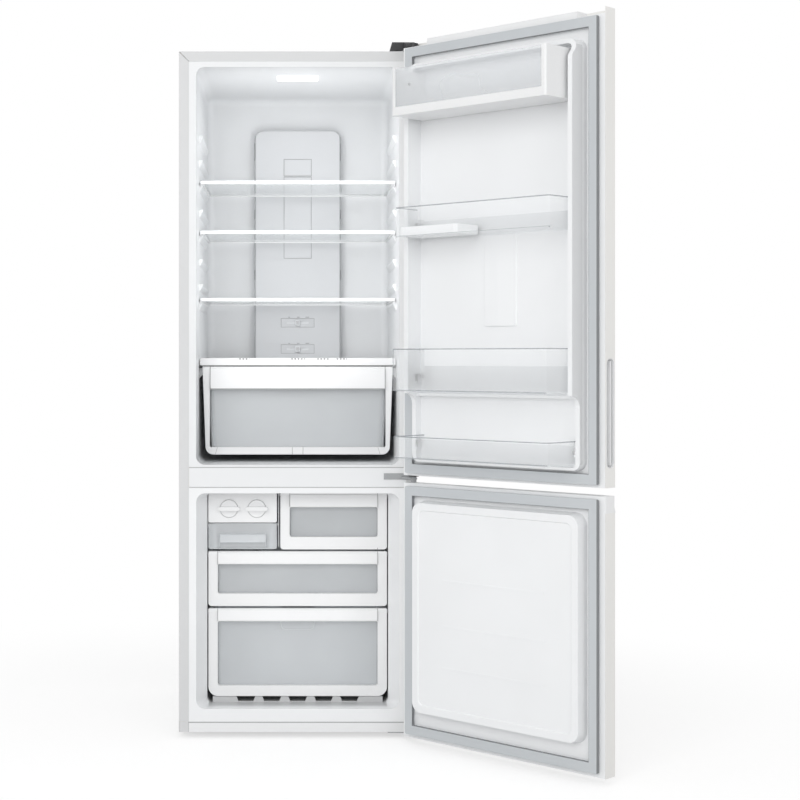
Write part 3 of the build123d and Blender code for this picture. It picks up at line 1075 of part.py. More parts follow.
def bin_body(front_y, z0, z1, back_z):
    """A door bin: rounded in plan, open on top, its back wall lower than its front."""
    top_slab(-BIN_X, BIN_X, BIN_BACK, front_y, z0, z1, BIN_R)
    inner_x = BIN_X - BIN_WALL
    inner = (-inner_x, inner_x, BIN_BACK + BIN_WALL, front_y - BIN_WALL)
    top_slab(*inner, z0 + BIN_WALL, z1, BIN_R - BIN_WALL, Mode.SUBTRACT)
    back_x = BIN_X - BIN_R
    top_slab(-back_x, back_x, BIN_BACK, BIN_BACK + BIN_WALL + 0.5, back_z, z1, mode=Mode.SUBTRACT)


BIN_1_FRONT = DOOR_Y1 + 124.5
WINDOW_SIDE = 12.0
WINDOW_LOW = 20.0
with BuildPart() as bin_1_frame:
    bin_body(BIN_1_FRONT, BIN_1_Z0, BIN_1_Z1, BIN_1_Z0 + 60.0)
    window_x = BIN_X - WINDOW_SIDE
    window_y = (BIN_1_FRONT - BIN_WALL, BIN_1_FRONT)
    front_slab(-window_x, window_x, BIN_1_Z0 + WINDOW_LOW, BIN_1_Z1, *window_y, mode=Mode.SUBTRACT)
    bin_ears(BIN_1_Z0)
keep(bin_1_frame, "bin_1_frame", on_door=True)

with BuildPart() as bin_1_window:
    pane_x = window_x - 0.15
    pane_z = (BIN_1_Z0 + WINDOW_LOW + 0.15, BIN_1_Z1 - 2.0)
    front_slab(-pane_x, pane_x, *pane_z, BIN_1_FRONT - BIN_WALL, BIN_1_FRONT - 0.2)
keep(bin_1_window, "bin_1_window", on_door=True)

BIN_2_FRONT = DOOR_Y1 + 112.0
with BuildPart() as bin_2:
    bin_body(BIN_2_FRONT, BIN_2_Z0, BIN_2_Z1, BIN_2_Z0 + 44.0)
    bin_ears(BIN_2_Z0)
    top_slab(-BIN_X, BIN_X, BIN_BACK, BIN_BACK + 22.0, BIN_2_Z0 + 48.0, BIN_2_Z1, mode=Mode.SUBTRACT)
keep(bin_2, "bin_2", on_door=True)

EGG_L = 178.0
EGG_D = 88.0
EGG_H = 22.0
EGG_R = 18.5
EGG_PITCH = 43.0
with BuildPart() as egg_tray:
    egg_z0 = BIN_2_Z0 + BIN_WALL + FIT
    egg_x1 = BIN_X - BIN_WALL - 2.0
    egg_y = (BIN_BACK + BIN_WALL + 4.0, BIN_BACK + BIN_WALL + 4.0 + EGG_D)
    top_slab(egg_x1 - EGG_L, egg_x1, *egg_y, egg_z0, egg_z0 + EGG_H, 11.0)
    fillet(egg_tray.edges().group_by(Axis.Z)[-1], 2.0)
    wall = 2.5
    under = (egg_x1 - EGG_L + wall, egg_x1 - wall, egg_y[0] + wall, egg_y[1] - wall)
    top_slab(*under, egg_z0, egg_z0 + EGG_H - wall, 9.0, Mode.SUBTRACT)
    egg_x = egg_x1 - EGG_L / 2
    for n in range(4):
        for row in (-0.5, 0.5):
            cup_y = (egg_y[0] + egg_y[1]) / 2 + row * EGG_PITCH
            post(egg_x + (n - 1.5) * EGG_PITCH, cup_y, egg_z0, egg_z0 + EGG_H, EGG_R, Mode.SUBTRACT)
keep(egg_tray, "egg_tray", on_door=True)

with BuildPart() as bin_3:
    bin_body(DOOR_Y1 + 124.0, BIN_3_Z0, BIN_3_Z1, BIN_3_Z0 + 60.0)
    bin_ears(BIN_3_Z0)
keep(bin_3, "bin_3", on_door=True)

with BuildPart() as bin_4:
    bin_body(DOOR_Y1 + 120.0, BIN_4_Z0, BIN_4_Z1, BIN_4_Z0 + 42.0)
    bin_ears(BIN_4_Z0)
keep(bin_4, "bin_4", on_door=True)

# freezer door
SKIN_TOP = LOWER_TOP - GRIP_H
with BuildPart() as freezer_door_skin:
    door_skin(LOWER_LOW, SKIN_TOP)
keep(freezer_door_skin, "freezer_door_skin", on_door=True)

lower_cap_z = SKIN_TOP - CAP_T
with BuildPart() as freezer_door_caps:
    door_plan(lower_cap_z, SKIN_TOP, SHEET, CAP_Y1)
    grip = [
        (DOOR_Y0, SKIN_TOP),
        (DOOR_Y0 + GRIP_SET_BACK, SKIN_TOP + GRIP_SLOPE),
        (DOOR_Y0 + GRIP_SET_BACK, LOWER_TOP),
        (CAP_Y1, LOWER_TOP),
        (CAP_Y1, SKIN_TOP),
    ]
    side_prism(grip, -HALF, HALF)
    groove_y = (DOOR_Y0 + GRIP_SET_BACK + 5.0, CAP_Y1 - 6.0)
    top_slab(-HALF + 14.0, HALF - 150.0, *groove_y, LOWER_TOP - 20.0, LOWER_TOP, 8.0, Mode.SUBTRACT)
    door_plan(LOWER_LOW, LOWER_LOW + CAP_T, SHEET, CAP_Y1)
    post(PIN_X, PIN_Y, LOWER_TOP - PIN_DEPTH, LOWER_TOP, PIN_BORE, Mode.SUBTRACT)
    bore_z = (LOWER_LOW, LOWER_LOW + PIN_DEPTH - 0.5)
    post(PIN_X, PIN_Y, *bore_z, PIN_BORE, Mode.SUBTRACT)
keep(freezer_door_caps, "freezer_door_caps", on_door=True)

PANEL_X = HALF - 53.5
PANEL_Z0 = LOW + 75.0
PANEL_Z1 = LOW + 585.0
PANEL_V = 30.0
PANEL_R = 25.0
PANEL_SLOPE = 5.0
PANEL_RIM = 17.0  # width of the level rim round the sunk field
PANEL_SINK = 2.5


def panel_outline(inset, r):
    """The outline of the raised panel, drawn in by inset."""
    outline(-PANEL_X + inset, PANEL_X - inset, PANEL_Z0 + inset, PANEL_Z1 - inset, r)


def raised_panel(grow):
    """The freezer door liner's raised panel with its sunk field, drawn in by grow for its foam core."""
    plateau_y = DOOR_Y1 + PANEL_V - grow
    with BuildPart() as panel:
        with BuildSketch(Plane.XZ.offset(-LINER_Y)) as foot:
            foot_in = grow - PANEL_SLOPE
            panel_outline(foot_in, PANEL_R - foot_in)
        with BuildSketch(Plane.XZ.offset(-plateau_y)) as plateau:
            panel_outline(grow, PANEL_R - grow)
        loft([foot.sketch.face(), plateau.sketch.face()], ruled=True)
        brim = PANEL_RIM - grow
        with BuildSketch(Plane.XZ.offset(-plateau_y)) as mouth:
            panel_outline(brim, PANEL_R - 8.0 + grow)
        with BuildSketch(Plane.XZ.offset(-(plateau_y - PANEL_SINK))) as field:
            panel_outline(brim + PANEL_SINK, PANEL_R - 10.0 + grow)
        loft([mouth.sketch.face(), field.sketch.face()], ruled=True, mode=Mode.SUBTRACT)
    return panel.part


with BuildPart() as freezer_door_liner:
    frame_x = INNER_X - 0.2
    front_slab(-frame_x, frame_x, LOWER_LOW + 0.5, LOWER_TOP - 0.5, LINER_Y, DOOR_Y1)
    add(raised_panel(0.0))
    field_y = DOOR_Y1 + PANEL_V - PANEL_SINK
    for z in (LOW + 190.0, LOW + 290.0, LOW + 400.0):
        front_slab(-150.0, 150.0, z, z + 5.0, field_y - LINER_T / 2, field_y + 1.0, 2.0)
    add(raised_panel(LINER_T), mode=Mode.SUBTRACT)
keep(freezer_door_liner, "freezer_door_liner", on_door=True)

with BuildPart() as freezer_door_foam:
    door_plan(LOWER_LOW + CAP_T, lower_cap_z, SHEET, LINER_Y)
    add(raised_panel(LINER_T))
keep(freezer_door_foam, "freezer_door_foam", on_door=True)

with BuildPart() as freezer_door_gasket:
    gasket_ring(LOW + 12.0, LOW + 622.5)
keep(freezer_door_gasket, "freezer_door_gasket", on_door=True)
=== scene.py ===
import functools
import math
import operator

import bmesh
import bpy
from bpy.props import FloatProperty, FloatVectorProperty, PointerProperty
from mathutils import Matrix, Vector


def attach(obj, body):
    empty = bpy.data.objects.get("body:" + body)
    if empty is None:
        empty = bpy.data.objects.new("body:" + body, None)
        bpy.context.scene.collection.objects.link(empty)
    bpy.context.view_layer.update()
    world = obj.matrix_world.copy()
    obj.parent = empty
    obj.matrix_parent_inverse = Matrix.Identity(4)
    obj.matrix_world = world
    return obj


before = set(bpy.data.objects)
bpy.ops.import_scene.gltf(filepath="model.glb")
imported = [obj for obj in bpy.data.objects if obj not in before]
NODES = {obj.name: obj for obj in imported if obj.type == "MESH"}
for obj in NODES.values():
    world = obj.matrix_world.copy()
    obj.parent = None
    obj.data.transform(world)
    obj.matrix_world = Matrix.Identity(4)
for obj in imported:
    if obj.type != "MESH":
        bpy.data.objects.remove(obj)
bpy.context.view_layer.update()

bl_info = {
    "name": "Bottom freezer refrigerator",
    "version": (1, 0, 0),
    "blender": (4, 5, 0),
    "location": "View3D > Sidebar > Refrigerator",
    "description": "Finishes and fine pieces of a bottom freezer refrigerator with open doors",
    "category": "Object",
}

# Places and sizes on the object are written in millimetres, and MM turns them into metres.
MM = 0.001
UP = (0.0, 0.0, 1.0)
WHITE = (1.0, 1.0, 1.0, 1.0)

# The open doors lean 45 degrees from straight ahead. Their hinge edge and pin are places seen from above.
SIN_45 = math.sqrt(0.5)
HINGE_EDGE = (262.5, -49.3)
HINGE_PIN = (288.0, -38.0)

# A clear door bin's form is its lowest and highest point and the depth of its front.
# It ends BIN_FAR_END across the door, and its near corner lies as far across as its front is deep, less
# BIN_NEAR_CORNER.
BIN_FORMS = (
    ("bin_2", (1242.0, 1314.0, 109.8)),
    ("bin_3", (874.0, 975.0, 124.0)),
    ("bin_4", (713.0, 766.0, 120.0)),
)
BIN_FAR_END = 533.0
BIN_NEAR_CORNER = 50.0

# The refractive index of paint, plastic and glass, and the heights of bumps in metres.
IOR = 1.5
FINE_GRAIN = 0.00001
CLEAR_GRAIN = 0.000002
GLASS_GRAIN = 0.0000005
METAL_GRAIN = 0.00003
SEAM_DEPTH = 0.0003

# Points this near are joined before edges are rounded. Edges of CAD nodes are rounded where they turn more than
# ROUNDED_ANGLE degrees, and those of turned pieces stay sharp above SHARP_ANGLE.
WELD_GAP = 0.02
ROUNDED_ANGLE = 40.0
SHARP_ANGLE = 35.0


# ---------------------------------------------------------------- shader nodes
class Port:
    """A node's output, with arithmetic that adds Math nodes."""

    def __init__(self, finish, socket):
        self.finish = finish
        self.socket = socket

    def __add__(self, other):
        return self.finish.maths("ADD", self, other)

    __radd__ = __add__

    def __sub__(self, other):
        return self.finish.maths("SUBTRACT", self, other)

    def __rsub__(self, other):
        return self.finish.maths("SUBTRACT", other, self)

    def __mul__(self, other):
        return self.finish.maths("MULTIPLY", self, other)

    __rmul__ = __mul__

    def __abs__(self):
        return self.finish.maths("ABSOLUTE", self, 0.0)


class Finish:
    """The nodes of a procedural material or world."""

    def __init__(self, owner):
        owner.use_nodes = True
        self.owner = owner
        self.tree = owner.node_tree
        self.tree.nodes.clear()

    def node(self, kind, settings=None, sockets=None, output=0):
        """Adds a node: its settings first, then the values or links of its sockets."""
        made = self.tree.nodes.new(kind)
        for key, value in (settings or {}).items():
            setattr(made, key, value)
        for key, value in (sockets or {}).items():
            if isinstance(value, Port):
                self.tree.links.new(value.socket, made.inputs[key])
            else:
                made.inputs[key].default_value = value
        return Port(self, made.outputs[output]) if len(made.outputs) else None

    def outlets(self, kind, names, sockets=None):
        """Adds a node and returns several of its outputs."""
        found = self.node(kind, sockets=sockets).socket.node.outputs
        return [Port(self, found[name]) for name in names]

    def end(self, shader, kind="ShaderNodeOutputMaterial"):
        """Ends the nodes in the given shader and returns their material or world."""
        self.node(kind, sockets={"Surface": shader})
        return self.owner

    def surface(self, sockets):
        """Ends the material in one Principled shader and returns the material."""
        return self.end(self.node("ShaderNodeBsdfPrincipled", sockets=sockets))

    @functools.cached_property
    def place(self):
        """The place on the object, which for a CAD piece is its place at rest."""
        return self.node("ShaderNodeTexCoord", output="Object")

    def maths(self, operation, first, second):
        return self.node("ShaderNodeMath", {"operation": operation}, {0: first, 1: second})

    def blend(self, factor, low, high):
        """A colour between low and high. The Mix node's colours are its sockets 6 and 7 and its output 2."""
        return self.node("ShaderNodeMix", {"data_type": "RGBA"}, {0: factor, 6: low, 7: high}, output=2)

    def noise(self, scale, detail=2.0, roughness=0.5):
        sockets = {"Vector": self.place, "Scale": scale, "Detail": detail, "Roughness": roughness}
        return self.node("ShaderNodeTexNoise", sockets=sockets)

    def cloud(self, scale, detail):
        """Soft patches between 0 and 1."""
        return self.smooth(self.noise(scale, detail), 0.3, 0.7)

    def bump(self, height, distance, under=None):
        sockets = {"Height": height, "Distance": distance}
        if under is not None:
            sockets["Normal"] = under
        return self.node("ShaderNodeBump", sockets=sockets)

    def smooth(self, value, low, high, to_low=0.0, to_high=1.0):
        """Eases from to_low to to_high while value runs from low to high."""
        sockets = {"Value": value, "From Min": low, "From Max": high, "To Min": to_low, "To Max": to_high}
        return self.node("ShaderNodeMapRange", {"interpolation_type": "SMOOTHSTEP"}, sockets)

    def past(self, value, limit, edge=2.0):
        """0 up to the limit, eased to 1 over the edge."""
        return self.smooth(value, limit, limit + edge)

    def before(self, value, limit, edge=2.0):
        """1 up to the limit, eased to 0 over the edge."""
        return self.smooth(value, limit, limit + edge, 1.0, 0.0)

    def near(self, value, middle, half, edge=0.5):
        """1 where value is within half of the middle, eased to 0 over the edge."""
        return self.before(abs(value - middle), half, edge)

    def bar(self, u, v, spot):
        """1 inside the spot (u0, u1, v0, v1)."""
        u0, u1, v0, v1 = spot
        return self.near(u, (u0 + u1) / 2, (u1 - u0) / 2) * self.near(v, (v0 + v1) / 2, (v1 - v0) / 2)

    def bars(self, u, v, spots):
        """1 inside any of the spots."""
        return total(self.bar(u, v, spot) for spot in spots)

    def frame_line(self, u, v, spot, width):
        """1 along the outline of the spot (u0, u1, v0, v1)."""
        u0, u1, v0, v1 = spot
        return self.bar(u, v, (u0 - width, u1 + width, v0 - width, v1 + width)) - self.bar(u, v, spot)

    def axes(self):
        """The place in millimetres, as three numbers."""
        metres = self.outlets("ShaderNodeSeparateXYZ", "XYZ", {0: self.place})
        return tuple(1.0 / MM * axis for axis in metres)

    def door_axes(self):
        """The place in millimetres across the open door from its hinge edge, along its depth, and up."""
        x, y, z = self.axes()
        along, out = x - HINGE_EDGE[0], y - HINGE_EDGE[1]
        return SIN_45 * (along - out), -SIN_45 * (along + out), z


def total(ports):
    """The sum of two or more values."""
    return functools.reduce(operator.add, ports)


def shade(colour, factor):
    """The colour made darker or lighter, as a shader colour."""
    return tuple(min(1.0, c * factor) for c in colour[:3]) + (1.0,)


# ---------------------------------------------------------------- finishes
def enamel(name, colour, roughness, peel, marks=None, dark=0.4):
    """Sprayed or powder coated steel: an even colour with a fine orange peel, with seams where marks says."""
    f = Finish(bpy.data.materials.new(name))
    cloud = f.cloud(2.5, 3.0)
    base = f.blend(cloud, shade(colour, 0.985), shade(colour, 1.01))
    rough = roughness + 0.05 * cloud + 0.04 * f.noise(420.0, 2.0)
    skin = f.bump(f.noise(340.0, 1.5, 0.55), peel)
    if marks:
        seam = marks(f)
        base = f.blend(seam, base, shade(colour, dark))
        skin = f.bump(1.0 - seam, SEAM_DEPTH, under=skin)
    return f.surface({"Base Color": base, "Roughness": rough, "Normal": skin, "IOR": IOR})


def moulding(
    name, colour, roughness, grain=FINE_GRAIN, grain_scale=1500.0,
    marks=None, dark=0.5, deep=SEAM_DEPTH, glow=0.0,
):
    """Moulded or foamed plastic: a soft sheen over a grain, with seams, slots or painted shade where marks
    says.
    """
    f = Finish(bpy.data.materials.new(name))
    cloud = f.cloud(4.0, 2.0)
    base = f.blend(cloud, shade(colour, 0.985), shade(colour, 1.01))
    fine = f.noise(grain_scale, 2.0)
    rough = roughness + 0.06 * cloud + 0.05 * fine
    normal = f.bump(fine + 2.0 * f.noise(16.0, 1.0), grain)
    if marks:
        seam = marks(f)
        base = f.blend(seam, base, shade(colour, dark))
        normal = f.bump(1.0 - seam, deep, under=normal)
    sockets = {"Base Color": base, "Roughness": rough, "Normal": normal, "IOR": IOR}
    if glow:
        sockets.update({"Emission Color": shade(colour, 1.0), "Emission Strength": glow})
    return f.surface(sockets)


def bin_shade_marks(f, bin_form):
    """Painted shade on a door bin: its far end wall, and the lines along its rims and corners."""
    low, high, front = bin_form
    across, deep, up = f.door_axes()
    wall = f.past(across, BIN_FAR_END - 3.5, 0.5)
    posts = f.near(across, BIN_FAR_END - 1.0, 1.9) + f.near(across, front - BIN_NEAR_CORNER, 1.9)
    face = (posts + f.near(up, low + 1.4, 1.6)) * f.near(deep, front - 0.6, 1.9)
    return wall, face + f.near(up, high - 1.0, 1.1)


def clear_moulding(
    name, tint, roughness, body, rim, grain=CLEAR_GRAIN,
    tub_front=None, bin_form=None, edge_shade_tint=None,
):
    """Clear plastic or glass: body is how much it covers seen square on, rim how much more at a slant.

    A tub's walls behind tub_front are milkier. A door bin's form gives it painted shade: greyer lines along its
    rims and corners and a greyer end wall.
    """
    f = Finish(bpy.data.materials.new(name))
    cloud = f.cloud(5.0, 2.0)
    ripple = f.bump(f.noise(900.0, 1.0), grain)
    facing = f.node("ShaderNodeLayerWeight", sockets={"Blend": 0.25, "Normal": ripple}, output="Facing")
    cover = body + 0.03 * cloud + rim * facing
    # Where the surface is seen at a slant its colour turns lighter: a painted sheen.
    colour = f.blend(facing, shade(tint, 1.0), shade(tint, 1.08))
    if tub_front is not None:
        _, y, _ = f.axes()
        cover = cover + 0.7 * f.past(y, tub_front)
    if bin_form is not None:
        # Painted shade: a door bin's rims, corners and far end wall are greyer and less clear.
        wall, lines = bin_shade_marks(f, bin_form)
        cover = cover + 0.22 * wall + 0.45 * lines
        colour = f.blend(wall, colour, shade(tint, 0.80))
        colour = f.blend(lines, colour, shade(edge_shade_tint, 1.0))
    rough = roughness + 0.03 * cloud
    sockets = {"Base Color": colour, "Roughness": rough, "Normal": ripple, "IOR": IOR}
    skin = f.node("ShaderNodeBsdfPrincipled", sockets=sockets)
    through = f.node("ShaderNodeBsdfTransparent", sockets={"Color": (0.995, 0.998, 1.0, 1.0)})
    return f.end(f.node("ShaderNodeMixShader", sockets={0: cover, 1: through, 2: skin}))


def metal(name, colour, roughness):
    """Drawn or plated metal with faint handling marks."""
    f = Finish(bpy.data.materials.new(name))
    cloud = f.cloud(40.0, 3.0)
    base = f.blend(cloud, shade(colour, 0.86), shade(colour, 1.04))
    rough = roughness + 0.12 * cloud + 0.08 * f.noise(500.0, 2.0)
    fine = f.bump(f.noise(260.0, 2.0), METAL_GRAIN)
    return f.surface({"Base Color": base, "Roughness": rough, "Normal": fine, "Metallic": 1.0})


def dress(material, *names, edges=None):
    """Gives CAD nodes a finish, and their rounded edges one of their own where edges is given."""
    for name in names:
        slots = NODES[name].data.materials
        slots.clear()
        slots.append(material)
        if edges:
            slots.append(edges)


def soften(width, *names):
    """Rounds the sharp edges of CAD nodes by a width in metres, in the last finish they have."""
    for name in names:
        piece = NODES[name]
        weld = piece.modifiers.new("weld", "WELD")
        weld.merge_threshold = WELD_GAP * MM
        bevel = piece.modifiers.new("edges", "BEVEL")
        bevel.width = width
        bevel.segments = 2
        bevel.limit_method = "ANGLE"
        bevel.angle_limit = math.radians(ROUNDED_ANGLE)
        bevel.material = len(piece.data.materials) - 1
        normals = piece.modifiers.new("normals", "WEIGHTED_NORMAL")
        normals.keep_sharp = True


# ---------------------------------------------------------------- seams, slots and painted shade on the CAD pieces
# Each spot is (from, to) along the first axis and (from, to) along the second.
BAND_END = (202.6, 203.8)
NARROW_BAND_END = (-20.6, -19.4)
NARROW_BAND = (573.0, 615.0)
WIDE_BANDS = ((427.0, 470.0), (284.0, 320.0))
DRAWER_FRONT_Y = 60.0

CRISPER_BAND_ENDS = (225.0, 226.2, 874.0, 935.0)
CRISPER_BAND_FOOT = (-226.0, 226.0, 873.0, 874.2)
CRISPER_SILL_RIBS = (13.6, 14.4, 700.0, 724.0)
CRISPER_RIB_LEAN = 0.3
CRISPER_RIB_REACH = 424.0
CRISPER_RIB_HEIGHT = (714.0, 9.0)
CRISPER_FRONT_Y = 122.0

# The crisper cover's vent slots are darkened with painted shade at these places.
LID_SLOT_ROWS = ((-154.0, -125.0), (-17.0, 19.0), (50.0, 81.0), (96.0, 127.0))
LID_SLOT_HEIGHTS = (949.0, 952.0)
LID_SLOT_TURN = 0.75
LID_JOINT = 933.4

DUCT_PLATE = (-37.5, 37.5, 1464.5, 1509.5)
DUCT_CHANNEL = (-37.5, 37.5, 1233.5, 1460.0)
DUCT_FACE_Y = 494.0
# The duct's painted shade runs along its sides at DUCT_SIDE_X below DUCT_SIDE_TOP, and in its slots at
# DUCT_SLOT_X.
DUCT_SIDE_X = 119.0
DUCT_SIDE_TOP = 1590.0
DUCT_SLOT_X = 120.5
DUCT_SLOT_HEIGHTS = ((1531.0, 24.0), (1356.0, 13.0), (1186.0, 13.0))
SLIDE_HEIGHTS = (1052.0, 978.5)
SLIDE_FRAME = (45.5, 11.5)
SLIDE_GROOVE = (30.0, 2.6)
SLIDE_TICKS = ((-26.0, -22.0), (-2.0, 5.0), (22.0, 32.0))
TICK_FOOT = 15.0
TICK_TOP = 16.5

# The sill's painted shade lies below SILL_TOP, behind SILL_FRONT_Y and within SILL_HALF of the middle.
SILL_TOP = 92.0
SILL_FRONT_Y = 14.0
SILL_HALF = 224.0

# The door ring's flank, the top bin's cheek and the gaskets' edges get painted shade at these places.
FLANK_ACROSS = 546.6
FLANK_DEEP = 16.0
CHEEK_DEEP = 118.0
UPPER_SEAL = (38.6, 557.4, 694.0, 1692.0)
LOWER_SEAL = (38.6, 557.4, 51.0, 613.5)
SEAL_FAR_EDGE = 581.2

CASE_CORNER = (298.0, 1722.0)
FLANGE_WIDTH = 26.0
FLANGE_Y = 3.0
RAIL_JOINT = 39.4
RAIL_END = 273.4
MULLION_JOINTS = (628.6, 678.4)


def drawer_seams(f):
    """The joints between the freezer drawers' bands and their side strips."""
    x, y, z = f.axes()
    narrow = f.bars(x, z, (BAND_END + NARROW_BAND, NARROW_BAND_END + NARROW_BAND))
    wide = f.bars(abs(x), z, [BAND_END + band for band in WIDE_BANDS])
    return (narrow + wide) * f.before(y, DRAWER_FRONT_Y)


def crisper_seams(f):
    """The joints of the crisper's band and the ribs on its sill, two upright and two leaning."""
    x, y, z = f.axes()
    seams = f.bar(abs(x), z, CRISPER_BAND_ENDS) + f.bar(x, z, CRISPER_BAND_FOOT)
    leaning = f.near(abs(x) + CRISPER_RIB_LEAN * z, CRISPER_RIB_REACH, 0.4) * f.near(z, *CRISPER_RIB_HEIGHT)
    ribs = f.bar(abs(x), z, CRISPER_SILL_RIBS) + leaning
    return (seams + 0.6 * ribs) * f.before(y, CRISPER_FRONT_Y)


def lid_slot_shade_and_joint(f):
    """The short vent slots along the crisper cover, darkened as painted shade, and the joint over its lip."""
    x, _, z = f.axes()
    dash = f.smooth(f.maths("SINE", x * LID_SLOT_TURN, 0.0), -0.2, 0.2)
    rows = f.bars(x, z, [row + LID_SLOT_HEIGHTS for row in LID_SLOT_ROWS])
    return rows * dash + f.near(z, LID_JOINT, 0.9)


def around(middle, half_width, half_height):
    """The spot this far to each side of the duct's middle line and above and below the middle."""
    return (-half_width, half_width, middle - half_height, middle + half_height)


def duct_lines_and_shade(f):
    """The outlines of the duct's plate, channel and slides and the slides' marks, with painted shade along the
    duct's sides and in its vent slots.
    """
    x, y, z = f.axes()
    lines = f.frame_line(x, z, DUCT_PLATE, 1.4) + f.frame_line(x, z, DUCT_CHANNEL, 1.2)
    for middle in SLIDE_HEIGHTS:
        lines = lines + f.frame_line(x, z, around(middle, *SLIDE_FRAME), 1.0)
        ticks = [tick + (middle + TICK_FOOT, middle + TICK_TOP) for tick in SLIDE_TICKS]
        lines = lines + f.bars(x, z, [around(middle, *SLIDE_GROOVE)] + ticks)
    # Painted shade along the duct's sides and in the vent slots beside them.
    side = f.near(abs(x), DUCT_SIDE_X, 1.4, 1.2) * f.before(z, DUCT_SIDE_TOP)
    slots = total(f.near(z, middle, half) for middle, half in DUCT_SLOT_HEIGHTS)
    side = side + f.near(abs(x), DUCT_SLOT_X, 1.3, 1.0) * slots
    return (0.8 * lines + 0.55 * side) * f.before(y, DUCT_FACE_Y)


def freezer_sill_shade(f):
    """Painted shade on the sill under the lowest drawer, which makes it darker."""
    x, y, z = f.axes()
    return f.before(z, SILL_TOP) * f.past(y, SILL_FRONT_Y, 26.0) * f.near(abs(x), 0.0, SILL_HALF, 3.0)


def door_flank_shade(f):
    """Painted shade on the outer flank of the refrigerator door's ring, which makes it greyer than the panel it
    stands on.
    """
    across, deep, _ = f.door_axes()
    return f.near(across, FLANK_ACROSS, 1.7) * f.past(deep, FLANK_DEEP, 1.0)


def bin_cheek_shade(f):
    """Painted shade on the far cheek of the top door bin, which makes it greyer than its front."""
    across, deep, _ = f.door_axes()
    return f.past(across, BIN_FAR_END - 3.0, 0.5) * f.before(deep, CHEEK_DEEP)


def seal_shadow_lines(f):
    """Painted shadow lines along the gaskets' inner edges and their far outer edge."""
    across, _, up = f.door_axes()
    folds = f.frame_line(across, up, UPPER_SEAL, 1.3) + f.frame_line(across, up, LOWER_SEAL, 1.3)
    return folds + f.near(across, SEAL_FAR_EDGE, 1.2)


def case_mitres(f):
    """The mitred joints of the case's front flange."""
    x, y, z = f.axes()
    half_width, top = CASE_CORNER
    corner = f.near(abs(x) - z, half_width - top, 0.7)
    return corner * f.past(z, top - FLANGE_WIDTH, 1.0) * f.before(y, FLANGE_Y, 1.0)


def rail_line(f):
    """The joint under the freezer on the base's front rail, and the case's darker sides beside the rail."""
    x, _, z = f.axes()
    beside = f.past(abs(x), RAIL_END - 0.2, 0.6)
    return f.near(z, RAIL_JOINT, 0.9) * (1.0 - beside) + 0.5 * f.near(abs(x), RAIL_END, 0.5) + 0.34 * beside


def mullion_lines(f):
    """The joints above and below the mullion's cover."""
    _, _, z = f.axes()
    low, high = MULLION_JOINTS
    return f.near(z, low, 0.6) + f.near(z, high, 0.6)


# ---------------------------------------------------------------- forms of the fine pieces
# A profile gives radius and height from its foot up; a form is a profile and its number of sides.
WASHER_SCREW = (
    ([(6.2, -0.3), (6.4, 0.1), (5.9, 0.45), (4.4, 0.5)], 28),
    ([(3.9, 0.2), (4.0, 1.05), (3.6, 1.4), (2.4, 1.5)], 6),
)
STUD_NUT = (
    ([(9.0, -0.2), (9.2, 0.4), (8.8, 1.2), (6.4, 1.3)], 32),
    ([(5.7, 1.0), (6.4, 1.8), (6.4, 6.2), (5.7, 7.0)], 6),
    ([(3.0, 1.0), (3.0, 10.6), (2.5, 11.2)], 20),
)
DRIER_PROFILE = [
    (1.6, 0.0), (2.0, 6.0), (4.0, 9.0), (9.0, 13.0), (9.5, 16.0), (9.5, 34.0), (9.1, 35.0), (9.5, 36.0),
    (9.5, 62.0), (9.1, 63.0), (9.5, 64.0), (9.5, 82.0), (8.4, 86.0), (4.0, 90.0), (3.0, 94.0), (3.0, 100.0),
]
BUSH_PROFILE = [(6.4, 0.0), (12.6, 0.0), (13.0, 0.5), (13.0, 3.0), (12.4, 3.6), (6.4, 3.6)]
BUTTON_PROFILE = [(3.2, -0.5), (3.4, 0.3), (2.6, 1.0), (1.2, 1.3)]

BACK_SCREW_SIDES = (("left", -286.0), ("right", 286.0))
BACK_SCREW_ROWS = 6
BACK_SCREW_PITCH = 282.0
BACK_Y = 600.0

# The compressor bay, seen from above: the compressor's middle, its studs from there, and the filter drier.
COMPRESSOR = (60.0, 500.0)
STUD_SIDES = (("left", -88.0), ("right", 88.0))
STUD_ENDS = (("front", -52.0), ("back", 52.0))
STUD_FOOT = 31.8
FILTER = (-172.0, 500.0)
DRIER_FOOT = 128.0
PIPE_TOP = 261.0
SUCTION = (
    (128, 530, 112), (158, 532, 112), (206, 530, 108),
    (222, 524, 130), (220, 520, 190), (220, 520, PIPE_TOP),
)
PRESSURE = (
    (130, 466, 80), (160, 464, 78), (232, 458, 74),
    (252, 462, 110), (248, 470, 190), (248, 470, PIPE_TOP),
)
FILLING = ((122, 545, 96), (140, 560, 96), (158, 578, 98), (180, 586, 100), (200, 588, 100))

# The capillary's coil stands beside the filter drier and rises a little with each step.
COIL_ASIDE = 30.0
COIL_RADIUS = 27.0
COIL_FOOT = 96.0
COIL_STEPS = range(12, 44)
COIL_TURN_START = 9
COIL_STEPS_A_TURN = 12.0
COIL_STEP_RISE = 0.35

CATCH_Y = 74.6
CATCH = ((-44, 286), (-43, 276), (-40, 262), (-28, 260), (28, 260), (40, 262), (43, 276), (44, 286))
CRISPER_RIB = ((-98, 135.2, 788), (0, 135.2, 787.6), (88, 135.2, 788))
BUSH_FOOT = 658.9
BUTTON_PLACE = (264.2, -226.1, 1602.0)


def add_piece(name, form, material, body):
    """Puts a mesh or curve into the scene on a body, in its finish."""
    form.materials.append(material)
    piece = bpy.data.objects.new(name, form)
    bpy.context.scene.collection.objects.link(piece)
    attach(piece, body)


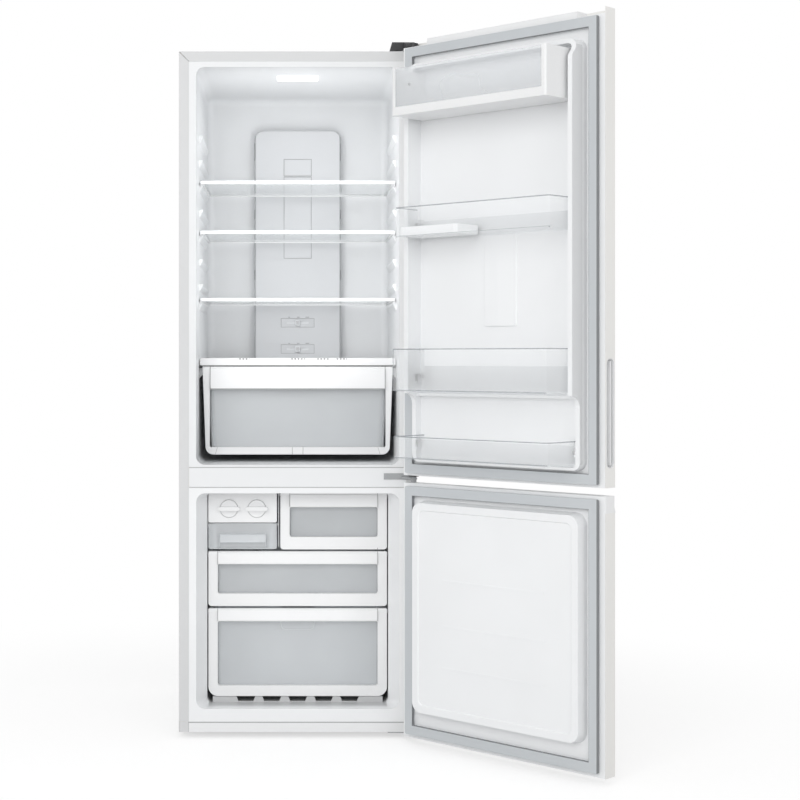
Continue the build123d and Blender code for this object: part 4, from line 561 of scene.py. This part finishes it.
def turn(made, profile, sides):
    """Adds a turned or many-sided form to a mesh that is being made."""
    rings = []
    for radius, height in profile:
        ring = []
        for k in range(sides):
            angle = 2.0 * math.pi * k / sides
            ring.append(made.verts.new((radius * math.cos(angle), radius * math.sin(angle), height)))
        rings.append(ring)
    for low, high in zip(rings, rings[1:]):
        for k in range(sides):
            after = (k + 1) % sides
            made.faces.new((low[k], low[after], high[after], high[k]))
    made.faces.new(reversed(rings[0]))
    made.faces.new(rings[-1])


def turned_piece(name, forms, place, axis, material, body):
    """Adds a piece made of turned forms that stand at the place along the axis."""
    made = bmesh.new()
    for profile, sides in forms:
        turn(made, profile, sides)
    lean = Vector(UP).rotation_difference(Vector(axis)).to_matrix().to_4x4()
    made.transform(Matrix.Translation(Vector(place) * MM) @ lean @ Matrix.Scale(MM, 4))
    mesh = bpy.data.meshes.new(name)
    made.to_mesh(mesh)
    made.free()
    mesh.shade_smooth()
    mesh.set_sharp_from_angle(angle=math.radians(SHARP_ANGLE))
    add_piece(name, mesh, material, body)


def pipe(name, points, radius, material, body):
    """Adds a round bar or tube bent along the points, with its radius in metres."""
    line = bpy.data.curves.new(name, "CURVE")
    line.dimensions = "3D"
    line.bevel_depth = radius
    line.bevel_resolution = 4
    line.resolution_u = 8
    line.use_fill_caps = True
    run = line.splines.new("NURBS")
    run.points.add(len(points) - 1)
    for target, spot in zip(run.points, points):
        target.co = (spot[0] * MM, spot[1] * MM, spot[2] * MM, 1.0)
    run.order_u = 3
    run.use_endpoint_u = True
    add_piece(name, line, material, body)


def capillary():
    """The points of the capillary: down from the filter drier, round its coil and up again."""
    x, y = FILTER
    points = [(x, y, 130.0), (x, y, 118.0), (x + 6.0, y, 106.0)]
    for k in COIL_STEPS:
        angle = 2.0 * math.pi * (k - COIL_TURN_START) / COIL_STEPS_A_TURN
        across = x + COIL_ASIDE + COIL_RADIUS * math.cos(angle)
        points.append((across, y + COIL_RADIUS * math.sin(angle), COIL_FOOT + COIL_STEP_RISE * k))
    return points + [(x + 62.0, y - 6.0, 124.0), (x + 64.0, y, 170.0), (x + 64.0, y, PIPE_TOP)]


# ---------------------------------------------------------------- settings
def colour_prop(name, default, description):
    return FloatVectorProperty(
        name=name, description=description, default=default, size=3, min=0.0, max=1.0, subtype="COLOR"
    )


def length_prop(name, millimetres, description):
    return FloatProperty(
        name=name, description=description, default=millimetres * MM, min=0.0, precision=5, unit="LENGTH"
    )


def power_prop(name, default, description):
    return FloatProperty(name=name, description=description, default=default, min=0.0, unit="POWER")


class FridgeLook(bpy.types.PropertyGroup):
    """Colours and lights that a user would change."""

    case_colour: colour_prop("Cabinet", (0.66, 0.665, 0.67), "Paint of the cabinet")
    door_colour: colour_prop("Door", (0.83, 0.825, 0.805), "Paint of the door skins")
    # The cabinet liners' plastic is given darker than the door liners' as painted shade, so that their front
    # flange, which faces the lamps squarely, matches.
    shaded_liner_colour: colour_prop("Cabinet liners", (0.81, 0.82, 0.83), "Plastic of the cabinet's liners")
    door_liner_colour: colour_prop("Door liners", (0.86, 0.87, 0.88), "Plastic of the doors' liners")
    freezer_colour: colour_prop("Freezer liner", (0.87, 0.88, 0.89), "Plastic of the freezer's liner")
    # The duct's plastic is given darker than the liners' as painted shade.
    shaded_duct_colour: colour_prop("Duct", (0.67, 0.68, 0.695), "Plastic of the cold air duct")
    trim_colour: colour_prop("Trims", (0.82, 0.825, 0.83), "Plastic of drawer fronts, rims and bins")
    gasket_colour: colour_prop("Gaskets", (0.55, 0.575, 0.595), "Vinyl of the door gaskets")
    window_colour: colour_prop("Windows", (0.86, 0.885, 0.905), "Clear plastic of the tubs")
    bin_window_colour: colour_prop("Bin window", (0.80, 0.82, 0.84), "Window of the top door bin")
    bin_colour: colour_prop("Door bins", (0.98, 0.985, 0.99), "Clear plastic of the door bins")
    # The colour of the painted shade along the door bins' rims and corners.
    bin_edge_shade_colour: colour_prop("Bin edges", (0.36, 0.385, 0.405), "Edges of the clear plastic")
    glass_colour: colour_prop("Shelf glass", (0.86, 0.89, 0.89), "Glass of the shelves")
    lamp_colour: colour_prop("Lamp", (0.93, 0.93, 0.92), "Cover of the ceiling lamp")
    black_colour: colour_prop("Black plastic", (0.022, 0.022, 0.024), "Hinge cover and drain pan")
    nylon_colour: colour_prop("Dark nylon", (0.10, 0.10, 0.11), "Feet, rollers and fan")
    bush_colour: colour_prop("Bush", (0.015, 0.015, 0.016), "Bush under the middle hinge")
    button_colour: colour_prop("Button", (0.45, 0.46, 0.47), "Button of the top door bin")
    foam_colour: colour_prop("Foam", (0.80, 0.70, 0.45), "Insulation in the walls and doors")
    back_colour: colour_prop("Back panel", (0.42, 0.44, 0.46), "Sheet on the back")
    hinge_colour: colour_prop("Hinges", (0.38, 0.39, 0.40), "Paint of the hinge brackets")
    hinge_edge_colour: colour_prop("Hinge edges", (0.12, 0.12, 0.125), "Cut edges of the hinge brackets")
    shell_colour: colour_prop("Compressor", (0.02, 0.02, 0.021), "Enamel of the compressor")
    fin_colour: colour_prop("Evaporator", (0.7, 0.71, 0.73), "Aluminium of the evaporator")
    copper_colour: colour_prop("Copper", (0.72, 0.40, 0.26), "Pipes in the compressor bay")
    nut_colour: colour_prop("Nuts", (0.50, 0.51, 0.53), "Plating of the compressor's nuts")
    screw_colour: colour_prop("Screws", (0.55, 0.56, 0.58), "Plating of the back panel's screws")
    world_light: FloatProperty(
        name="Sky", description="Strength of the surrounding light", default=0.74, min=0.0
    )
    key_power: power_prop("Key", 85.0, "Power of the main soft lamp")
    fill_power: power_prop("Fill", 25.0, "Power of the second soft lamp")
    glow_power: power_prop("Inside", 1.15, "Power of the soft light in the upper compartment")


class FridgeSizes(bpy.types.PropertyGroup):
    """Sizes of the fine pieces and rounded edges that a user would change."""

    sheet_edge: length_prop("Sheet edge", 0.35, "Rounding of the steel sheets' edges")
    trim_edge: length_prop("Trim edge", 0.8, "Rounding of small mouldings' edges")
    tub_edge: length_prop("Tub edge", 0.9, "Rounding of the tubs' and covers' edges")
    front_edge: length_prop("Front edge", 1.2, "Rounding of the drawer fronts' edges")
    ice_bin_edge: length_prop("Ice bin edge", 1.0, "Rounding of the ice bin's edges")
    egg_tray_edge: length_prop("Egg tray edge", 0.7, "Rounding of the egg tray's edges")
    suction_radius: length_prop("Suction pipe", 3.6, "Radius of the suction pipe")
    pipe_radius: length_prop("Pipes", 2.6, "Radius of the pressure, filling and condenser pipes")
    capillary_radius: length_prop("Capillary", 1.1, "Radius of the capillary pipe")
    catch_radius: length_prop("Drawer catch", 1.6, "Radius of the lower drawer's catch")
    rib_radius: length_prop("Crisper rib", 0.9, "Radius of the rib on the crisper's window")


# ---------------------------------------------------------------- stage
# The stage's places and sizes are in metres, the lens and the sensor in millimetres.
LENS = 74.07
SENSOR = 36.0
SHIFT = (0.1279, -0.0519)
EYE = (0.0, -4.128, 0.9518)
MIDDLE = (0.0, 0.0, 0.85)
LOW_FILL_SHARE = 0.016
LOWER_GLOW_SHARE = 0.05
CEILING_GLOW_SHARE = 0.2
GLOW_SPREAD = 172.0
FLOOR_HALF = 9.0
FLOOR_FADE = (0.9, 2.0)


def add_lamp(name, power, size, spread, place, tilt):
    """Adds a soft lamp that the camera doesn't see, with its spread in degrees."""
    light = bpy.data.lights.new(name, "AREA")
    light.shape = "RECTANGLE"
    light.size, light.size_y = size
    light.spread = math.radians(spread)
    light.energy = power
    lamp = bpy.data.objects.new(name, light)
    lamp.location = place
    lamp.rotation_euler = tilt
    lamp.visible_camera = False
    bpy.context.scene.collection.objects.link(lamp)
    return lamp


def add_sky(scene, strength):
    """Adds an even light from all round, which is white where it is seen."""
    f = Finish(bpy.data.worlds.new("studio"))
    rays = ("Is Camera Ray", "Is Glossy Ray", "Is Transmission Ray")
    camera, glossy, through = f.outlets("ShaderNodeLightPath", rays)
    seen = f.maths("MAXIMUM", f.maths("MAXIMUM", camera, glossy), through)
    level = f.node("ShaderNodeMapRange", sockets={"Value": seen, "To Min": strength, "To Max": 1.0})
    light = f.node("ShaderNodeBackground", sockets={"Strength": level, "Color": WHITE})
    scene.world = f.end(light, "ShaderNodeOutputWorld")


def floor_paper():
    """Pale paper that keeps the object's shadow and fades to white further off."""
    f = Finish(bpy.data.materials.new("floor_paper"))
    lit = f.node("ShaderNodeBsdfDiffuse", sockets={"Color": (0.80, 0.80, 0.80, 1.0)})
    dim = f.node("ShaderNodeBsdfDiffuse", sockets={"Color": (0.46, 0.46, 0.46, 1.0)})
    lift = f.node("ShaderNodeEmission", sockets={"Color": WHITE, "Strength": 0.60})
    close = f.node("ShaderNodeAddShader", sockets={0: dim, 1: lift})
    white = f.node("ShaderNodeEmission", sockets={"Color": WHITE, "Strength": 1.0})
    reach = f.node("ShaderNodeVectorMath", {"operation": "LENGTH"}, {0: f.place}, output="Value")
    seen = f.node("ShaderNodeMixShader", sockets={0: f.smooth(reach, *FLOOR_FADE), 1: close, 2: white})
    rays = f.node("ShaderNodeLightPath", output="Is Camera Ray")
    return f.end(f.node("ShaderNodeMixShader", sockets={0: rays, 1: lit, 2: seen}))


class FRIDGE_OT_stage(bpy.types.Operator):
    """Adds the camera, the lamps, the sky and the pale floor"""

    bl_idname = "fridge.stage"
    bl_label = "Stage"

    def execute(self, context):
        scene = context.scene
        look = scene.fridge_look
        lens = bpy.data.cameras.new("camera")
        lens.lens = LENS
        lens.sensor_width = SENSOR
        lens.shift_x, lens.shift_y = SHIFT
        eye = bpy.data.objects.new("camera", lens)
        eye.location = EYE
        eye.rotation_euler = (math.radians(90.0), 0.0, 0.0)
        scene.collection.objects.link(eye)
        scene.camera = eye
        scene.view_settings.view_transform = "Standard"

        for name, power, side, spread, place, target in (
            ("key", look.key_power, 3.0, 180.0, (-1.8, -5.0, 2.9), MIDDLE),
            ("fill", look.fill_power, 2.6, 180.0, (2.6, -4.6, 1.9), MIDDLE),
            ("low_fill", look.fill_power * LOW_FILL_SHARE, 0.5, 75.0, (-0.6, -2.2, 0.40), (0.3, -0.2, 0.5)),
        ):
            aim = (Vector(target) - Vector(place)).to_track_quat("-Z", "Y").to_euler()
            add_lamp(name, power, (side, side), spread, place, aim)

        for name, power, size, place, tilt in (
            ("upper_glow", look.glow_power, (0.34, 0.56), (0.0, -0.03, 1.28), 90.0),
            ("lower_glow", look.glow_power * LOWER_GLOW_SHARE, (0.30, 0.40), (0.0, -0.03, 0.35), 90.0),
            ("ceiling_glow", look.glow_power * CEILING_GLOW_SHARE, (0.44, 0.40), (0.0, 0.17, 1.44), 180.0),
        ):
            lamp = add_lamp(name, power, size, GLOW_SPREAD, place, (math.radians(tilt), 0.0, 0.0))
            lamp.visible_glossy = False
            lamp.visible_transmission = False

        add_sky(scene, look.world_light)
        mesh = bpy.data.meshes.new("floor")
        half = FLOOR_HALF
        corners = [(-half, -half, 0.0), (half, -half, 0.0), (half, half, 0.0), (-half, half, 0.0)]
        mesh.from_pydata(corners, [], [(0, 1, 2, 3)])
        mesh.materials.append(floor_paper())
        floor = bpy.data.objects.new("floor", mesh)
        scene.collection.objects.link(floor)
        return {"FINISHED"}


# ---------------------------------------------------------------- finishes of the CAD nodes
class FRIDGE_OT_paint(bpy.types.Operator):
    """Gives the metal pieces their finishes"""

    bl_idname = "fridge.paint"
    bl_label = "Metal pieces"

    def execute(self, context):
        look = context.scene.fridge_look
        rail = shade(look.case_colour, 1.26)
        dress(enamel("case_paint", look.case_colour, 0.40, 0.00006, case_mitres), "outer_case")
        dress(enamel("rail_paint", rail, 0.40, 0.00006, rail_line), "base_tray")
        dress(enamel("door_paint", look.door_colour, 0.34, 0.00006), "fridge_door_skin", "freezer_door_skin")
        dress(enamel("zinc_sheet", look.back_colour, 0.42, 0.00004), "back_panel")
        hinge = enamel("hinge_paint", look.hinge_colour, 0.36, 0.00004)
        cut = enamel("hinge_edge", look.hinge_edge_colour, 0.4, 0.00004)
        dress(hinge, "mid_hinge", "bottom_hinge", "top_hinge", edges=cut)
        dress(enamel("compressor_enamel", look.shell_colour, 0.32, 0.0001), "compressor")
        dress(enamel("rolled_aluminium", look.fin_colour, 0.3, 0.00002), "evaporator")
        return {"FINISHED"}


class FRIDGE_OT_mouldings(bpy.types.Operator):
    """Gives the plastic pieces and the foam their finishes"""

    bl_idname = "fridge.mouldings"
    bl_label = "Mouldings"

    def execute(self, context):
        look = context.scene.fridge_look
        trim = look.trim_colour
        # Painted shade on the rounded edges of the drawer fronts, slides and other small mouldings.
        line = moulding("moulding_edge_shade", shade(trim, 0.62), 0.3)

        dress(moulding("liner_sheet", look.shaded_liner_colour, 0.32), "fridge_liner")
        dress(moulding("mullion_sheet", look.shaded_liner_colour, 0.32, marks=mullion_lines), "mullion_cover")
        # The freezer liner gets painted shade on its sill under the lowest drawer.
        sheet = moulding("freezer_sheet", look.freezer_colour, 0.32, marks=freezer_sill_shade, dark=0.62, deep=0.0)
        dress(sheet, "freezer_liner")
        panel = look.door_liner_colour
        # The refrigerator door liner gets painted shade on the outer flank of its ring.
        sheet = moulding("door_liner_sheet", panel, 0.28, marks=door_flank_shade, dark=0.82, deep=0.0)
        dress(sheet, "fridge_door_liner")
        dress(moulding("freezer_panel_sheet", panel, 0.28), "freezer_door_liner")
        # The duct gets painted shade along its sides and in its side slots.
        dress(moulding("duct_moulding", look.shaded_duct_colour, 0.34, marks=duct_lines_and_shade, dark=0.42), "duct_cover")
        slide = moulding("slide_moulding", shade(look.shaded_duct_colour, 1.15), 0.3)
        dress(slide, "vent_knob_upper", "vent_knob_lower", edges=line)

        drawer = moulding("drawer_moulding", trim, 0.24, marks=drawer_seams)
        dress(drawer, "drawer_1_front", "drawer_2_front", "drawer_3_front", edges=line)
        crisper = moulding("crisper_moulding", trim, 0.24, marks=crisper_seams, dark=0.35)
        dress(crisper, "crisper_front", edges=line)
        # The crisper cover gets painted shade in its vent slots.
        dress(moulding("lid_moulding", trim, 0.24, marks=lid_slot_shade_and_joint, dark=0.3), "crisper_cover")
        bright = moulding("bright_moulding", shade(trim, 1.15), 0.24)
        dress(bright, "shelf_1_frame", "shelf_2_frame", "shelf_3_frame", "egg_tray")
        white = moulding("white_moulding", trim, 0.24)
        dress(white, "ice_maker_frame", "ice_twister_left", "ice_twister_right", edges=line)
        dress(white, "fridge_door_handle", "freezer_back_cover")
        # The top door bin's frame gets painted shade on its far cheek.
        cheek = moulding("bin_frame_moulding", trim, 0.24, marks=bin_cheek_shade, dark=0.86, deep=0.0)
        dress(cheek, "bin_1_frame", edges=line)
        cap = moulding("door_cap_plastic", shade(trim, 1.02), 0.36, 0.00002)
        dress(cap, "fridge_door_caps", "freezer_door_caps")

        black = moulding("black_moulding", look.black_colour, 0.42, 0.00008, 900.0)
        dress(black, "top_hinge_cover", "drain_pan")
        nylon = moulding("grey_nylon", look.nylon_colour, 0.45, 0.00003)
        dress(nylon, "foot_left", "foot_right", "roller_left", "roller_right", "evaporator_fan")
        foam = moulding("rigid_foam", look.foam_colour, 0.9, 0.0004, 160.0)
        dress(foam, "cabinet_foam", "fridge_door_foam", "freezer_door_foam")
        # The gaskets get painted shadow lines along their edges, and painted shade on their rounded edges.
        seal = moulding("seal_vinyl", look.gasket_colour, 0.5, 0.00003, marks=seal_shadow_lines, dark=0.4)
        shaded_seal_edge = moulding("seal_edge_shade", shade(look.gasket_colour, 0.4), 0.5, 0.00003)
        dress(seal, "fridge_door_gasket", "freezer_door_gasket", edges=shaded_seal_edge)
        dress(moulding("lamp_plastic", look.lamp_colour, 0.3, 0.00002, glow=0.7), "lamp_lens")
        return {"FINISHED"}


class FRIDGE_OT_clear_pieces(bpy.types.Operator):
    """Gives the tubs, the door bins and the shelves' glass their finishes"""

    bl_idname = "fridge.clear_pieces"
    bl_label = "Clear pieces"

    def execute(self, context):
        look = context.scene.fridge_look
        window = look.window_colour
        # Painted shade on the tubs' rounded edges, which are greyer and less clear.
        edge = clear_moulding("tub_edge", shade(window, 0.7), 0.12, 0.75, 0.2)
        tub = clear_moulding("tub_plastic", window, 0.12, 0.36, 0.30, tub_front=78.0)
        dress(tub, "drawer_1_bin", "drawer_2_bin", "drawer_3_bin", edges=edge)
        tub = clear_moulding("crisper_plastic", window, 0.12, 0.42, 0.30, tub_front=138.5)
        dress(tub, "crisper_bin", edges=edge)
        dress(clear_moulding("ice_bin_plastic", window, 0.12, 0.40, 0.30), "ice_bin", edges=edge)
        # The door bins get painted shade along their rims and corners and on their far end walls.
        for name, form in BIN_FORMS:
            plastic = clear_moulding(
                f"{name}_plastic", look.bin_colour, 0.18, 0.07, 0.16,
                bin_form=form, edge_shade_tint=look.bin_edge_shade_colour,
            )
            dress(plastic, name)
        dress(clear_moulding("bin_window", look.bin_window_colour, 0.2, 0.25, 0.30), "bin_1_window")
        pane = clear_moulding("shelf_pane", look.glass_colour, 0.04, 0.06, 0.30, GLASS_GRAIN)
        dress(pane, "shelf_1_glass", "shelf_2_glass", "shelf_3_glass")
        return {"FINISHED"}


class FRIDGE_OT_edges(bpy.types.Operator):
    """Rounds the edges of the pieces"""

    bl_idname = "fridge.edges"
    bl_label = "Rounded edges"

    def execute(self, context):
        sizes = context.scene.fridge_sizes
        soften(sizes.sheet_edge, "outer_case", "base_tray", "mullion_cover")
        soften(sizes.sheet_edge, "top_hinge", "mid_hinge", "bottom_hinge")
        soften(sizes.sheet_edge, "fridge_door_skin", "freezer_door_skin")
        soften(sizes.trim_edge, "fridge_door_gasket", "freezer_door_gasket", "fridge_door_handle")
        soften(sizes.trim_edge, "fridge_door_caps", "freezer_door_caps", "top_hinge_cover", "drain_pan")
        soften(sizes.trim_edge, "bin_1_frame", "crisper_cover", "ice_twister_left", "ice_twister_right")
        soften(sizes.trim_edge, "shelf_1_frame", "shelf_2_frame", "shelf_3_frame")
        soften(sizes.front_edge, "crisper_front", "drawer_1_front", "drawer_2_front", "drawer_3_front")
        soften(sizes.front_edge, "ice_maker_frame")
        soften(sizes.tub_edge, "crisper_bin", "drawer_1_bin", "drawer_2_bin", "drawer_3_bin")
        soften(sizes.tub_edge, "vent_knob_upper", "vent_knob_lower")
        soften(sizes.tub_edge, "duct_cover", "lamp_lens", "freezer_back_cover")
        soften(sizes.ice_bin_edge, "ice_bin")
        soften(sizes.egg_tray_edge, "egg_tray")
        return {"FINISHED"}


# ---------------------------------------------------------------- fine pieces
class FRIDGE_OT_back_screws(bpy.types.Operator):
    """Adds the screws that hold the back panel"""

    bl_idname = "fridge.back_screws"
    bl_label = "Back panel screws"

    def execute(self, context):
        zinc = metal("screw_zinc", context.scene.fridge_look.screw_colour, 0.28)
        for side, x in BACK_SCREW_SIDES:
            for k in range(1, BACK_SCREW_ROWS + 1):
                place = (x, BACK_Y, BACK_SCREW_PITCH * k)
                name = f"back_screw_{side}_{k}"
                turned_piece(name, WASHER_SCREW, place, (0.0, 1.0, 0.0), zinc, "cabinet")
        return {"FINISHED"}


class FRIDGE_OT_cooling_circuit(bpy.types.Operator):
    """Adds the compressor's nuts, its copper pipes and the filter drier with its capillary"""

    bl_idname = "fridge.cooling_circuit"
    bl_label = "Cooling circuit"

    def execute(self, context):
        look, sizes = context.scene.fridge_look, context.scene.fridge_sizes
        copper = metal("drawn_copper", look.copper_colour, 0.26)
        zinc = metal("nut_zinc", look.nut_colour, 0.3)
        for side, right in STUD_SIDES:
            for end, back in STUD_ENDS:
                name = f"compressor_nut_{side}_{end}"
                place = (COMPRESSOR[0] + right, COMPRESSOR[1] + back, STUD_FOOT)
                turned_piece(name, STUD_NUT, place, UP, zinc, "cabinet")

        x, y = FILTER
        drier = ((DRIER_PROFILE, 32),)
        inlet = ((x, y, 224.0), (x, y, 236.0), (x + 4.0, y, 250.0), (x + 4.0, y, PIPE_TOP))
        pipe("suction_pipe", SUCTION, sizes.suction_radius, copper, "cabinet")
        pipe("pressure_pipe", PRESSURE, sizes.pipe_radius, copper, "cabinet")
        pipe("filling_pipe", FILLING, sizes.pipe_radius, copper, "cabinet")
        turned_piece("filter_drier", drier, (x, y, DRIER_FOOT), UP, copper, "cabinet")
        pipe("condenser_pipe", inlet, sizes.pipe_radius, copper, "cabinet")
        pipe("capillary_pipe", capillary(), sizes.capillary_radius, copper, "cabinet")
        return {"FINISHED"}


class FRIDGE_OT_small_mouldings(bpy.types.Operator):
    """Adds the lower drawer's catch, the crisper's rib, the hinge bush and the top door bin's button"""

    bl_idname = "fridge.small_mouldings"
    bl_label = "Small mouldings"

    def execute(self, context):
        look, sizes = context.scene.fridge_look, context.scene.fridge_sizes
        ridge = clear_moulding("ridge_plastic", shade(look.window_colour, 0.8), 0.15, 0.6, 0.2)
        catch = [(x, CATCH_Y, z) for x, z in CATCH]
        pipe("drawer_3_catch", catch, sizes.catch_radius, ridge, "drawer_3")
        pipe("crisper_rib", CRISPER_RIB, sizes.rib_radius, ridge, "crisper")
        black = moulding("bush_nylon", look.bush_colour, 0.4, 0.00004)
        place = HINGE_PIN + (BUSH_FOOT,)
        turned_piece("hinge_bush", ((BUSH_PROFILE, 36),), place, UP, black, "cabinet")
        grey = moulding("button_plastic", look.button_colour, 0.3)
        facing = (-SIN_45, -SIN_45, 0.0)
        turned_piece("bin_1_button", ((BUTTON_PROFILE, 24),), BUTTON_PLACE, facing, grey, "bin_1")
        return {"FINISHED"}


# ---------------------------------------------------------------- add-on
class FRIDGE_PT_panel(bpy.types.Panel):
    """Lists the steps and settings of the refrigerator"""

    bl_idname = "FRIDGE_PT_panel"
    bl_label = "Refrigerator"
    bl_space_type = "VIEW_3D"
    bl_region_type = "UI"
    bl_category = "Refrigerator"

    def draw(self, context):
        for step in STEPS:
            self.layout.operator(step.bl_idname)
        for group in (context.scene.fridge_look, context.scene.fridge_sizes):
            for name in type(group).__annotations__:
                self.layout.prop(group, name)


STEPS = (
    FRIDGE_OT_stage,
    FRIDGE_OT_paint,
    FRIDGE_OT_mouldings,
    FRIDGE_OT_clear_pieces,
    FRIDGE_OT_edges,
    FRIDGE_OT_back_screws,
    FRIDGE_OT_cooling_circuit,
    FRIDGE_OT_small_mouldings,
)
CLASSES = (FridgeLook, FridgeSizes) + STEPS + (FRIDGE_PT_panel,)


def register():
    for item in CLASSES:
        bpy.utils.register_class(item)
    bpy.types.Scene.fridge_look = PointerProperty(type=FridgeLook)
    bpy.types.Scene.fridge_sizes = PointerProperty(type=FridgeSizes)


def unregister():
    del bpy.types.Scene.fridge_sizes
    del bpy.types.Scene.fridge_look
    for item in reversed(CLASSES):
        bpy.utils.unregister_class(item)


def main():
    register()
    for step in STEPS:
        area, name = step.bl_idname.split(".")
        getattr(getattr(bpy.ops, area), name)()


if __name__ == "__main__":
    main()
